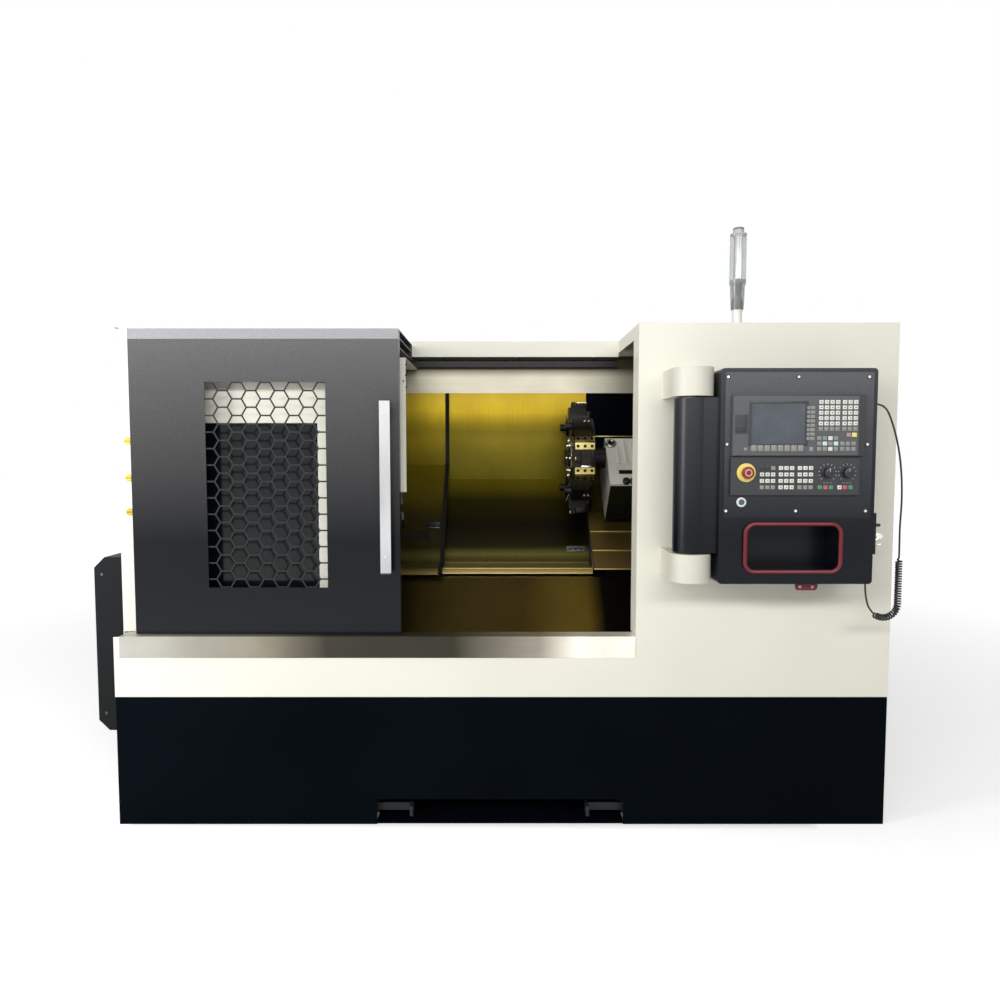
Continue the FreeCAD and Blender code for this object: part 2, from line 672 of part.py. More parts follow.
def make_spindle():
    """The hollow spindle with its nose, the chuck and its hydraulic cylinder."""
    tail = head_left - "spindle_tail"
    centre = (axis_y, axis_z)
    body = rod("x", (tail, axis_y, axis_z), "spindle_radius", nose_left - tail)
    nose = rod("x", (nose_left, axis_y, axis_z), "nose_radius", "nose_length")
    bore = rod("x", (tail, axis_y, axis_z), "bar_bore", chuck_left - tail)
    node(cut(union([body, nose]), bore), "spindle")
    drum = rod("x", (tail - "cylinder_length", axis_y, axis_z), "cylinder_radius", "cylinder_length")
    bore = rod("x", (tail - "cylinder_length", axis_y, axis_z), "bar_bore", "cylinder_length")
    node(cut(drum, bore), "chuck_cylinder")
    body = rod("x", (chuck_left, axis_y, axis_z), "chuck_radius", "chuck_length")
    tools = [rod("x", (chuck_left, axis_y, axis_z), "bar_bore", "chuck_length")]
    for number in range(3):
        tools.append(turned_block(centre, 120 * number, 0, size("chuck_radius") + "jaw_key",
                                  size("jaw_width") / 2 + "jaw_gap", chuck_right - "jaw_key",
                                  chuck_right + "jaw_key"))
    node(cut(body, union(tools)), "chuck")
    for number in range(3):
        inner = size("jaw_inner")
        outer = inner + "jaw_height"
        wide = size("jaw_width") / 2
        key = turned_block(centre, 120 * number, inner, outer, wide,
                           chuck_right - "jaw_key" + "jaw_gap", chuck_right + "jaw_reach")
        step = turned_block(centre, 120 * number, inner - "jaw_key", inner, wide,
                            chuck_right + "jaw_key", chuck_right + "jaw_reach")
        node(union([key, step]), f"jaw_{number + 1}")


# ---------------------------------------------------------------- slides and turret

saddle_left = middle + "saddle_left"
saddle_right = saddle_left + "saddle_length"
slide_left = saddle_left + "slide_inset"
slide_right = saddle_right - "slide_inset"
saddle_under = size("rail_size") + "seat_gap" - "bed_drop"
saddle_top = saddle_under + "saddle_thickness"
slide_under = saddle_top + "seat_gap"
slide_top = slide_under + "slide_thickness"
turret_left = middle + "turret_left"
turret_right = turret_left + "turret_length"


def make_slides():
    """The Z rails, the saddle, the cross slide and the telescoping apron plates."""
    rails = [slanted_block((head_left + "pedestal_length" + "rail_inset", bed_right - "rail_inset"),
                           (size(low), size(low) + "rail_size"),
                           (-size("bed_drop"), size("rail_size") - "bed_drop"))
             for low in ("rail_low", "rail_high")]
    node(group(rails), "z_rails")
    node(slanted_block((saddle_left, saddle_right), (-size("saddle_low"), "bed_high"),
                       (saddle_under, saddle_top)), "saddle")
    step = sheet + "seat_gap"
    upper = -size("apron_drop")
    low = size("slide_low")
    slide = slanted_block((slide_left, slide_right), (low, low + "slide_length"), (slide_under, slide_top))
    plate = slanted_block((saddle_left, saddle_right), (low - "apron_top_length", low),
                          (upper - sheet, upper))
    node(union([slide, plate]), "cross_slide")
    start = -size("apron_middle_low")
    node(slanted_block((saddle_left + sheet, saddle_right - sheet), (start, start + "apron_middle_length"),
                       (upper - step - sheet, upper - step)), "apron_middle")
    start = -size("apron_low")
    under = upper - step * 2 - sheet
    plate = slanted_block((saddle_left + sheet * 2, saddle_right - sheet * 2),
                          (start, start + "apron_bottom_length"), (under, under + sheet))
    foot = -size("saddle_low")
    foot = slanted_block((saddle_left + sheet * 2, saddle_right - sheet * 2),
                         (foot, foot + "apron_foot"), (saddle_top, under))
    node(union([plate, foot]), "apron_lower")


def make_turret():
    """The turret housing, its eight-sided disc and the tool holders on the flats."""
    centre = along_slant("turret_offset", 0)
    housing_left = middle + "housing_left"
    low = size("housing_low")
    block_shape = slanted_block((housing_left, housing_left + "housing_length"),
                                (low, low + "housing_width"), (slide_top, "housing_rise"))
    socket = rod("x", (housing_left,) + centre, size("turret_shaft_radius") + "running_gap",
                 size("turret_socket") + "seat_gap")
    node(cut(block_shape, socket), "turret_housing")
    stations = int(size("turret_stations").value)
    half_turn = 180 / stations
    corner = size("turret_flats") / 2 / math.cos(math.radians(half_turn))
    outline = []
    for number in range(stations):
        turn = math.radians(half_turn * (2 * number + 1))
        outline.append((centre[0] + corner * round(math.cos(turn), 9),
                        centre[1] + corner * round(math.sin(turn), 9)))
    disc = prism("x", outline, turret_left, turret_right, name="TurretDisc")
    shaft = rod("x", (turret_right,) + centre, "turret_shaft_radius",
                housing_left + "turret_socket" - turret_right)
    node(union([disc, shaft]), "turret_disc")
    inner = size("turret_flats") / 2
    outer = inner + "holder_height"
    tool = size("tool_size")
    holders = []
    for number in range(stations):
        turn = 2 * half_turn * number
        body = turned_block(centre, turn, inner, outer, size("holder_width") / 2,
                            turret_left - tool / 2, turret_left - tool / 2 + "holder_length")
        if number % 2:
            angle = size(turn)
            reach = (inner + outer) / 2
            bar = rod("x", (turret_left - "tool_overhang", centre[0] - reach * sine(angle),
                            centre[1] + reach * cosine(angle)), tool * 0.8,
                      size("tool_overhang") - tool / 2)
        else:
            bar = turned_block(centre, turn, outer, outer + "tool_reach", tool / 2,
                               turret_left, turret_left + tool)
        holders.append(union([body, bar]))
    node(group(holders), "tool_holders")


def way_profile(back, lip, drop, ledge, ledge_front, flange):
    """The folds of a way cover, from its top edge down to the flange under its ledge."""
    back, lip, ledge_front = front + back, front + lip, front + ledge_front
    ledge = axis_z - ledge
    return [(back, "cover_top"), (back, height_on_slant(back, drop)), (lip, height_on_slant(lip, drop)),
            (lip, ledge), (ledge_front, ledge), (ledge_front, ledge - flange)]


def make_way_covers():
    """The fixed and the sliding way cover, and the chip chute under them."""
    seam = middle - "cover_seam"
    inner = way_profile("cover_back", "cover_lip", "cover_drop", "cover_ledge_drop",
                        "cover_ledge_front", "cover_flange")
    skin = folded("x", inner, sheet, seam - "cover_overlap", saddle_left, name="SlidingCover")
    back = front + "cover_back"
    backdrop = block((saddle_left, middle + "backdrop_right"), (back, back + sheet),
                     (axis_z + "backdrop_rise", "cover_top"))
    node(union([skin, backdrop]), "sliding_way_cover")
    outer = way_profile("outer_back", "outer_lip", "outer_drop", "outer_ledge_drop",
                        "outer_ledge_front", "outer_flange")
    node(folded("x", outer, sheet, head_right, seam, name="FixedCover"), "fixed_way_cover")
    bed_face = along_slant(-size("bed_low"), -size("bed_drop"))[0]
    riser = chute_crest + "chute_flange"
    wall = front + "chute_wall"
    seat_height, chute_top = axis_z - "chute_seat_drop", axis_z - "chute_top_drop"
    path = [(bed_face, seat_height), (riser, seat_height), (riser, chute_top), (chute_crest, chute_top),
            (wall, height_on_chute(wall)), (wall, "trough_floor"),
            (front + "skirt_setback" + sheet, "trough_floor")]
    inset = size("skirt_inset") + sheet
    node(folded("x", path, sheet, left + inset, right - inset, name="Chute"), "chip_chute")


# ---------------------------------------------------------------- pendant

pivot_x = middle + "pivot_offset"
pivot_y = front - "pivot_reach"
pendant_left = middle + "pendant_left"
pendant_right = pendant_left + "pendant_width"
pendant_low = size("pendant_bottom")
pendant_high = pendant_low + "pendant_height"
pendant_rear = front - "pendant_gap"
pendant_front = pendant_rear - "pendant_depth"
face_front = pendant_front - "face_thickness"
unit_front = face_front - "unit_thickness"
control_left = middle + "control_left"
control_low = size("control_bottom")


def make_arms():
    """The two pale arms on the front cover, each with the pin that the pendant turns on."""
    radius = size("arm_radius")
    for label, low, pin in (("upper_arm", size("upper_arm_bottom"), size("upper_arm_bottom") - "pin_length"),
                            ("lower_arm", size("lower_arm_bottom"), size("lower_arm_bottom") + "arm_height")):
        nose = rod("z", (pivot_x, pivot_y, low), radius, "arm_height")
        body = block((pivot_x - radius, pivot_x + radius), (pivot_y, front), (low, low + "arm_height"))
        pin = rod("z", (pivot_x, pivot_y, pin), "pin_radius", "pin_length")
        node(union([nose, body, pin]), label)


def make_pendant_box():
    """The dark sheet-metal pendant box with its hinge column and its pocket."""
    outer = prism("y", rectangle((pendant_left, pendant_right), (pendant_low, pendant_high)),
                  pendant_front, pendant_rear, rounding="pendant_radius", name="PendantBox")
    room = block((pendant_left + sheet, pendant_right - sheet), (pendant_front + sheet, pendant_rear - sheet),
                 (pendant_low + sheet, pendant_high - sheet))
    rim = size("pocket_frame")
    x = (pendant_left + "pocket_offset" + rim, pendant_left + "pocket_offset" + "pocket_width" - rim)
    low = pendant_low + "pocket_bottom"
    z = (low + rim, low + "pocket_height" - rim)
    bottom = pendant_front + "pocket_depth"
    liner = block((x[0] - sheet, x[1] + sheet), (pendant_front + sheet, bottom + sheet),
                  (z[0] - sheet, z[1] + sheet))
    pocket = block(x, (pendant_front, bottom), z)
    column_low = size("lower_arm_bottom") + "arm_height" + "column_gap"
    column_high = size("upper_arm_bottom") - "column_gap"
    radius = size("column_radius")
    column = rod("z", (pivot_x, pivot_y, column_low), radius, column_high - column_low)
    link = block((pivot_x, pendant_left + sheet), (pivot_y - radius * 0.9, pivot_y + radius * 0.9),
                 (column_low, column_high))
    bore = size("pin_radius") + "running_gap"
    bores = [rod("z", (pivot_x, pivot_y, low), bore, "pin_length")
             for low in (column_low, column_high - "pin_length")]
    shell = union([cut(outer, room), liner, column, link])
    node(cut(shell, union([pocket] + bores)), "pendant_box")
    outer_ring = prism("y", rectangle((x[0] - rim, x[1] + rim), (z[0] - rim, z[1] + rim)),
                       pendant_front - "pocket_rise", pendant_front, rounding="pocket_radius", name="Rim")
    inner_ring = prism("y", rectangle(x, z), pendant_front - "pocket_rise", pendant_front,
                       rounding=size("pocket_radius") - rim, name="RimRoom")
    node(cut(outer_ring, inner_ring), "pocket_frame")


def key_field(left_edge, low_edge, columns, rows, pitch, rise, width="key_width", height="key_height"):
    """Rows and columns of keys on the units' faces."""
    keys = []
    for column in range(columns):
        for number in range(rows):
            x, z = left_edge + size(pitch) * column, low_edge + size(rise) * number
            keys.append(block((x, x + width), (unit_front - "key_thickness", unit_front), (z, z + height)))
    return keys


def panel_keys(display_left, display_low):
    """Every field of keys on the display unit and the control unit."""
    keys = key_field(display_left + "soft_keys_left", display_low + "soft_keys_low", 8, 1,
                     "soft_key_pitch", 0, "soft_key_width", "soft_key_height")
    keys += key_field(display_left + "side_keys_left", display_low + "side_keys_low", 1, 8,
                      0, "side_key_rise", "side_key_width", "side_key_height")
    for across, low, columns, rows in (
            ("letter_keys_left", "upper_keys_low", 4, 6), ("number_keys_left", "upper_keys_low", 3, 6),
            ("edit_keys_left", "edit_keys_low", 2, 1), ("arrow_keys_left", "lower_keys_low", 4, 3),
            ("page_keys_left", "lower_keys_low", 3, 2)):
        keys += key_field(display_left + across, display_low + low, columns, rows, "key_pitch", "key_rise")
    for across, rows in (("mode_keys_left", 4), ("axis_keys_left", 4), ("hand_keys_left", 4),
                         ("feed_keys_left", 1), ("speed_keys_left", 1)):
        keys += key_field(control_left + across, control_low + "control_keys_low", 3, rows,
                          "key_pitch", "control_key_rise")
    return keys


def make_pendant_panel():
    """The face plate with the display unit, its screen, the control unit and their keys."""
    inset = size("face_inset")
    hole = (pendant_left + "button_offset", size("face_bottom") + "button_rise")
    node(prism("y", rectangle((pendant_left + inset, pendant_right - inset),
                              ("face_bottom", size("face_bottom") + "face_height")),
               face_front, pendant_front, circles=[(hole, size("button_radius") + "running_gap")],
               name="Face"), "pendant_face")
    display_left = middle + "display_left"
    display_low = size("display_bottom")
    unit = block((display_left, display_left + "display_width"), (unit_front, face_front),
                 (display_low, display_low + "display_height"))
    x = (display_left + "screen_left", display_left + "screen_left" + "screen_width")
    z = (display_low + "screen_bottom", display_low + "screen_bottom" + "screen_height")
    floor = unit_front + "screen_recess"
    node(cut(unit, block(x, (unit_front, floor), z)), "display_unit")
    gap = size("seat_gap")
    node(block((x[0] + gap, x[1] - gap), (floor - "screen_thickness", floor), (z[0] + gap, z[1] - gap)),
         "display_screen")
    unit = block((control_left, control_left + "control_width"), (unit_front, face_front),
                 (control_low, control_low + "control_height"))
    gap = size("running_gap")
    bores = [rod("y", (control_left + "stop_offset", unit_front, control_low + "stop_rise"),
                 size("stop_stem_radius") + gap, "unit_thickness")]
    for number in range(2):
        bores.append(rod("y", (control_left + "knob_offset" + size("knob_pitch") * number, unit_front,
                               control_low + "knob_rise"), size("knob_shaft_radius") + gap,
                         "unit_thickness"))
    node(cut(unit, union(bores)), "control_unit")
    node(group(panel_keys(display_left, display_low)), "panel_keys")


def make_controls():
    """The emergency stop, the two override knobs and the start button."""
    x, z = control_left + "stop_offset", control_low + "stop_rise"
    neck = unit_front - "stop_stem_height"
    head = rod("y", (x, neck - "stop_head_height", z), "stop_head_radius", "stop_head_height")
    stem = rod("y", (x, neck, z), "stop_stem_radius", size("stop_stem_height") + "stop_engage")
    node(union([head, stem]), "emergency_stop")
    for number, label in enumerate(("feed_knob", "speed_knob")):
        x, z = control_left + "knob_offset" + size("knob_pitch") * number, control_low + "knob_rise"
        back = unit_front - "seat_gap"
        cap = rod("y", (x, back - "knob_height", z), "knob_radius", "knob_height")
        shaft = rod("y", (x, back, z), "knob_shaft_radius", size("knob_engage") + "seat_gap")
        node(union([cap, shaft]), label)
    x, z = pendant_left + "button_offset", size("face_bottom") + "button_rise"
    node(rod("y", (x, face_front - "button_height", z), "button_radius",
             size("button_height") + "button_engage"), "start_button")


def make_pendant_sides():
    """The block on the pendant's right side, the red tab under it and the cord's two glands."""
    low = pendant_low + "block_bottom"
    deep = size("block_depth") / 2
    node(block((pendant_right, pendant_right + "block_width"), (pivot_y - deep, pivot_y + deep),
               (low, low + "block_height")), "side_block")
    x = pendant_left + "tab_offset"
    y = pendant_front + "tab_back"
    node(block((x, x + "tab_width"), (y, y + "tab_thickness"), (pendant_low - "tab_drop", pendant_low)),
         "lock_tab")
    y = front - "cord_reach"
    upper = rod("x", (pendant_right, y, "gland_height"), "gland_radius", "gland_length")
    lower = rod("z", (pendant_right + size("block_width") / 2, y, low - "gland_length"),
                "gland_radius", "gland_length")
    node(group([upper, lower]), "cord_glands")


# ---------------------------------------------------------------- cord

cord_y = (front - "cord_reach").value
cord_radius = size("cord_radius").value
gland_end = V((pendant_right + "gland_length").value, cord_y, size("gland_height").value)
lower_exit = V((pendant_right + size("block_width") / 2).value, cord_y,
               (pendant_low + "block_bottom" - "gland_length").value)
coil_top = gland_end + V(100, 0, -489)
cord_straight = cord_radius * 2
coil_fall = 161
bend_radius = 46
bend_turn = math.radians(143)
coil_length = coil_fall + bend_radius * bend_turn + cord_straight
open_turns = 1
open_pitch = 2


def coil_line(distance):
    """A point of the curly cord's centre line and its direction there: down, round a bend, straight."""
    if distance <= coil_fall:
        return coil_top - V(0, 0, distance), V(0, 0, -1)
    angle = min((distance - coil_fall) / bend_radius, bend_turn)
    centre = coil_top + V(-bend_radius, 0, -coil_fall)
    point = centre + V(bend_radius * math.cos(angle), 0, -bend_radius * math.sin(angle))
    direction = V(-math.sin(angle), 0, -math.cos(angle))
    beyond = max(distance - coil_fall - bend_radius * bend_turn, 0)
    return point + direction * beyond, direction


def opened(turns):
    """How much further than even curls the first turns reach: the end curls are drawn open."""
    turns = min(turns, open_turns)
    return open_pitch * (turns - turns * turns / (2 * open_turns))


def curl_point(turns):
    """A point of the curls, some turns along: they widen from the line and narrow to it again."""
    curls = size("curl_count").value
    spare = open_pitch * open_turns
    share = (turns + spare / 2 + opened(turns) - opened(curls - turns)) / (curls + spare)
    ramp = min(1, turns / open_turns, (curls - turns) / open_turns)
    reach = size("curl_radius").value * ramp * ramp * (3 - 2 * ramp)
    point, direction = coil_line(cord_straight + share * (coil_length - 2 * cord_straight))
    across = direction.cross(V(0, 1, 0))
    angle = 2 * math.pi * turns
    return point + V(0, 1, 0) * (reach * math.sin(angle)) + across * (reach * math.cos(angle))


def bow(start, direction, end):
    """An arc from a start and its direction to an end, or a line where they are in line."""
    chord = end - start
    angle = direction.getAngle(chord)
    if angle < 1e-4:
        return Part.LineSegment(start, end).toShape()
    away = (direction - chord * (direction.dot(chord) / chord.dot(chord))).normalize()
    crown = start + chord * 0.5 + away * (chord.Length / 2 * math.tan(angle / 2))
    return Part.Arc(start, crown, end).toShape()


def biarc(start, start_way, end, end_way):
    """Two arcs that join two points with their directions."""
    gap = end - start
    both = start_way + end_way
    across = gap.dot(both)
    slack = 2 * (1 - start_way.dot(end_way))
    if slack < 1e-9:
        reach = gap.dot(gap) / (4 * gap.dot(end_way))
    else:
        reach = (math.sqrt(across * across + slack * gap.dot(gap)) - across) / slack
    joint = (start + end + (start_way - end_way) * reach) * 0.5
    return [bow(start, start_way, joint), bow(end, end_way * -1, joint)]


def tube(edges, start, direction):
    """A round tube swept along edges."""
    ring = Part.Wire([Part.Circle(start, direction, cord_radius).toShape()])
    path = Part.Wire(Part.__sortEdges__(edges))
    return path.makePipeShell([ring], True, False)


def make_curly_cord():
    """The curly cord as one unbroken tube on arcs of a quarter turn."""
    curls = int(size("curl_count").value)
    nudge = 0.001
    stops = [step / 4 for step in range(4 * curls + 1)]
    points = [curl_point(stop) for stop in stops]
    ways = [(curl_point(stop + nudge) - curl_point(stop - nudge)).normalize() for stop in stops[1:-1]]
    first, first_way = coil_line(0)
    last, last_way = coil_line(coil_length)
    ways = [first_way] + ways + [last_way]
    edges = [Part.LineSegment(first, points[0]).toShape()]
    for number in range(len(points) - 1):
        edges += biarc(points[number], ways[number], points[number + 1], ways[number + 1])
    edges.append(Part.LineSegment(points[-1], last).toShape())
    radii = [edge.Curve.Radius for edge in edges if isinstance(edge.Curve, Part.Circle)]
    path = Part.Wire(Part.__sortEdges__(edges))
    marks = path.discretize(Number=24 * curls)
    per_turn = len(marks) // curls
    least = min((marks[a] - marks[b]).Length for a in range(len(marks))
                for b in range(a + per_turn // 2, min(len(marks), a + 2 * per_turn)))
    print("curly cord: least gap to itself", round(least - 2 * cord_radius, 2),
          "least radius", round(min(radii), 2), "length", round(path.Length, 1))
    node(made(tube(edges, first, first_way), "CurlyCord"), "curly_cord")


def make_lead(label, route):
    """A straight lead: runs joined by tangent arcs as large as the runs allow."""
    edges = []
    last = route[0]
    radii = []
    for number in range(1, len(route) - 1):
        before, corner, after = route[number - 1], route[number], route[number + 1]
        way_in, way_out = (corner - before).normalize(), (after - corner).normalize()
        turn = way_in.getAngle(way_out)
        shorter = min((corner - before).Length, (after - corner).Length)
        setback = 0.45 * shorter
        radii.append(round(setback / math.tan(turn / 2), 1))
        begin, finish = corner - way_in * setback, corner + way_out * setback
        edges.append(Part.LineSegment(last, begin).toShape())
        edges.append(bow(begin, way_in, finish))
        last = finish
    edges.append(Part.LineSegment(last, route[-1]).toShape())
    solid = tube(edges, route[0], (route[1] - route[0]).normalize())
    length = sum(edge.Length for edge in edges)
    share = solid.Volume / (math.pi * cord_radius ** 2 * length)
    print(label, "radii", radii, "length", round(length, 1), "volume share", round(share, 4))
    node(made(solid, "Lead"), label)


def make_cord():
    """The pendant's cord: a lead from the side gland, the curly part and a lead to the side block."""
    steps = [(0, 0), (24, 0), (46, -17), (62, -54), (79, -107), (93, -172), (101, -247), (103, -322),
             (99, -397), (100, -452), (100, -489)]
    make_lead("upper_lead", [gland_end + V(x, 0, z) for x, z in steps])
    make_curly_cord()
    end, way = coil_line(coil_length)
    steps = [(5, -134), (0, -96), (1, -49), (0, -16), (0, 0)]
    make_lead("lower_lead", [end, end + way * 16] + [lower_exit + V(x, 0, z) for x, z in steps])


make_skirt()
make_bed()
make_front_cover()
make_sill()
make_inner_cover()
make_side_panels()
make_roof()
make_end_guard()
make_lamp()
make_door()
make_hex_guard()
make_handle()
make_headstock()
make_spindle()
make_slides()
make_turret()
make_way_covers()
make_arms()
make_pendant_box()
make_pendant_panel()
make_controls()
make_pendant_sides()
make_cord()
document.recompute()

for thing in document.Objects:
    if "Invalid" in thing.State or "Error" in thing.State:
        raise RuntimeError(f"{thing.Name} ({thing.Label}) failed: {thing.State}")
for thing in NODES:
    if thing.Shape.isNull() or not thing.Shape.isValid():
        raise RuntimeError(f"{thing.Label} has no valid shape")

os.makedirs("parts", exist_ok=True)
for thing in NODES:
    thing.Shape.exportStep(f"parts/{thing.Label}.step")
print(len(NODES), "sub-parts written")
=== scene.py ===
# %% [markdown]
# # A CNC turning lathe, dressed around its CAD model
# The machine is a slant-bed lathe in a sheet-metal enclosure. The CAD model already has every
# panel, slide and shaft at its real size. This lesson gives those solids their finishes, and adds
# what a step away still shows: screws, keys, knobs, lenses, edges and the pendant's curly cord.

# %% Load the machine
import bmesh
import bpy
import math
from mathutils import Matrix, Vector


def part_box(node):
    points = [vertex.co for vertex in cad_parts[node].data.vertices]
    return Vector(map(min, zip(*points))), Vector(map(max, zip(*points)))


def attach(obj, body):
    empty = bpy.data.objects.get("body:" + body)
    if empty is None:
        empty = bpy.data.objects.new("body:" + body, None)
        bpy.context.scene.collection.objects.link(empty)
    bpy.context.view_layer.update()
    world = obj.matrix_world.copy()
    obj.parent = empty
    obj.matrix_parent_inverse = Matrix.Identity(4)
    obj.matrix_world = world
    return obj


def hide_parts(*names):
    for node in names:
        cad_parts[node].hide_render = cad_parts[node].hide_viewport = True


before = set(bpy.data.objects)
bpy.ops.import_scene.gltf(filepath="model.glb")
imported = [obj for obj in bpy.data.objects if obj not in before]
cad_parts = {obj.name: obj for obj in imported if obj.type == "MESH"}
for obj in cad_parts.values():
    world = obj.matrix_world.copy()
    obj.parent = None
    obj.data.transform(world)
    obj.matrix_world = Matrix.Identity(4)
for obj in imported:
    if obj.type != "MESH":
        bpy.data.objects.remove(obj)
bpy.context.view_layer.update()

# %% [markdown]
# ## Sizes
# Blender works in metres, but a machine shop thinks in millimetres, so one helper turns one into
# the other. Many pieces read their place, in millimetres, from the CAD node that they sit on; the
# others give it in numbers.

# %% Sizes and places
scene = bpy.context.scene


def mm(*lengths):
    """Millimetres as metres: one number, or a vector."""
    if len(lengths) == 1:
        return lengths[0] / 1000
    return Vector(length / 1000 for length in lengths)


class Place:
    """The box of a CAD node in mm, with a name for each side."""

    def __init__(self, name):
        low, high = ([1000 * part for part in corner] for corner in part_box(name))
        self.left, self.front, self.low = low
        self.right, self.rear, self.high = high
        self.x, self.y, self.z = ((a + b) / 2 for a, b in zip(low, high))


door = Place("door_panel")
cover = Place("front_cover")
face = Place("pendant_face")
display = Place("display_unit")
screen = Place("display_screen")
control = Place("control_unit")
pendant = Place("pendant_box")
print("front of the machine", round(cover.front, 1), "front of the pendant", round(display.front, 1))

# %% [markdown]
# ## The camera
# The photograph was taken from about 2.6 m in front of the machine, at eye height and nearly
# level. A wide lens at that distance shows the inner side of the right cover, as the photo does.

# %% The camera
camera_dip = 3.73
camera_data = bpy.data.cameras.new("camera")
camera_data.lens = 27.61
camera_data.sensor_width = 36
camera = bpy.data.objects.new("camera", camera_data)
camera.location = (0.100, -3.2995, 1.314)
camera.rotation_euler = (math.radians(90 - camera_dip), 0, 0)
scene.collection.objects.link(camera)
scene.camera = camera
scene.view_settings.view_transform = "Standard"

# %% [markdown]
# ## The curly cord
# A curly cord is a lead wound on a mandrel and baked, so that it springs back. Its ends are left
# straight. One NURBS spline follows the whole way: listed points for the two leads and a
# formula for the curls, with twelve points to each turn, so that no turn looks faceted. The first
# and the last curl are drawn open, so the wire widens from its line without a kink.

# %% The curly cord
cord_plane = -0.8145
gland_end = Vector((1.302, cord_plane, 1.462))
lower_exit = Vector((1.2935, cord_plane, 0.962))
upper_route = [(0, 0), (24, 0), (46, -17), (62, -54), (79, -107), (93, -172), (101, -247),
               (103, -322), (99, -397), (100, -452)]
lower_route = [(5, -134), (0, -96), (1, -49), (0, -16), (0, 0)]
coil_top = gland_end + mm(100, 0, -489)
coil_fall = mm(161)
bend_radius = mm(46)
bend_turn = math.radians(143)
cord_radius = mm(3)
cord_straight = 2 * cord_radius
curl_count = 31
curl_radius = mm(8.8)
open_pitch = 2
points_per_curl = 12
coil_length = coil_fall + bend_radius * bend_turn + cord_straight


def coil_line(distance):
    """A point of the coil's centre line and its direction: down, round a bend, straight."""
    if distance <= coil_fall:
        return coil_top - Vector((0, 0, distance)), Vector((0, 0, -1))
    angle = min((distance - coil_fall) / bend_radius, bend_turn)
    point = coil_top + Vector((bend_radius * (math.cos(angle) - 1), 0,
                               -coil_fall - bend_radius * math.sin(angle)))
    direction = Vector((-math.sin(angle), 0, -math.cos(angle)))
    beyond = max(distance - coil_fall - bend_radius * bend_turn, 0)
    return point + direction * beyond, direction


def opened(turns):
    """How much further than even curls the first turn reaches."""
    turns = min(turns, 1)
    return open_pitch * (turns - turns * turns / 2)


def curl_point(turns):
    """A point of the curls, some turns along: they widen from the line and narrow to it again."""
    share = (turns + open_pitch / 2 + opened(turns) - opened(curl_count - turns)) / (curl_count + open_pitch)
    ramp = min(1, turns, curl_count - turns)
    reach = curl_radius * ramp * ramp * (3 - 2 * ramp)
    point, direction = coil_line(cord_straight + share * (coil_length - 2 * cord_straight))
    across = direction.cross(Vector((0, 1, 0)))
    angle = 2 * math.pi * turns
    return point + Vector((0, 1, 0)) * reach * math.sin(angle) + across * reach * math.cos(angle)


cord_points = [gland_end + mm(x, 0, z) for x, z in upper_route]
cord_points.append(coil_line(0)[0])
cord_points += [curl_point(step / points_per_curl) for step in range(curl_count * points_per_curl + 1)]
coil_end, coil_way = coil_line(coil_length)
cord_points += [coil_end, coil_end + coil_way * mm(16)]
cord_points += [lower_exit + mm(x, 0, z) for x, z in lower_route]

cord_curve = bpy.data.curves.new("pendant_cord", "CURVE")
cord_curve.dimensions = "3D"
spline = cord_curve.splines.new("NURBS")
spline.points.add(len(cord_points) - 1)
for spot, point in zip(spline.points, cord_points):
    spot.co = (*point, 1)
    spot.radius = cord_radius
spline.order_u = 3
spline.use_endpoint_u = True
spline.resolution_u = 3
cord_curve.bevel_depth = 1
cord_curve.bevel_resolution = 3
cord = bpy.data.objects.new("pendant_cord", cord_curve)
scene.collection.objects.link(cord)
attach(cord, "pendant")
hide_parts("upper_lead", "curly_cord", "lower_lead")

# %% [markdown]
# ## How finishes are built
# Each finish is a small node tree. One function adds a node, and another gives its sockets what
# they need. Colours are written as sRGB hex values, the way a paint card gives them, and turned
# to the linear values that the renderer adds up. Patterns are sized in millimetres on Object
# coordinates, which never stretch, because every mesh has its place in its own vertices.

# %% Finish helpers


def linear(hex_value, alpha=1):
    """A hex colour such as "#EAE8D8" as linear red, green and blue."""
    parts = [int(hex_value[i:i + 2], 16) / 255 for i in (1, 3, 5)]
    return tuple(p / 12.92 if p <= 0.04045 else ((p + 0.055) / 1.055) ** 2.4 for p in parts) + (alpha,)


def feed(node, sockets):
    """Give each socket its value, or link it to the output or the node that feeds it."""
    for key, value in sockets.items():
        source = value.outputs[0] if isinstance(value, bpy.types.Node) else value
        if isinstance(source, bpy.types.NodeSocket):
            node.id_data.links.new(source, node.inputs[key])
        else:
            node.inputs[key].default_value = source


def add(tree, kind, sockets=None, **settings):
    """Add a node with its settings and what its sockets get."""
    made = tree.nodes.new(kind)
    for key, value in settings.items():
        setattr(made, key, value)
    feed(made, sockets or {})
    return made


def calculate(tree, operation, *sockets):
    """Add a maths node."""
    return add(tree, "ShaderNodeMath", dict(enumerate(sockets)), operation=operation)


def empty_tree(owner):
    """The node tree of a material or a world, emptied."""
    owner.use_nodes = True
    owner.node_tree.nodes.clear()
    return owner.node_tree


def start_finish(name, **surface):
    """A material with its Principled shader; the words are sockets that stay the same all over."""
    material = bpy.data.materials.new(name)
    tree = empty_tree(material)
    shader = add(tree, "ShaderNodeBsdfPrincipled", {
        key.replace("_", " ").title().replace("Ior", "IOR"): value for key, value in surface.items()})
    add(tree, "ShaderNodeOutputMaterial", {"Surface": shader}).is_active_output = True
    return material, tree, shader


def object_place(tree):
    """Object coordinates."""
    return add(tree, "ShaderNodeTexCoord").outputs["Object"]


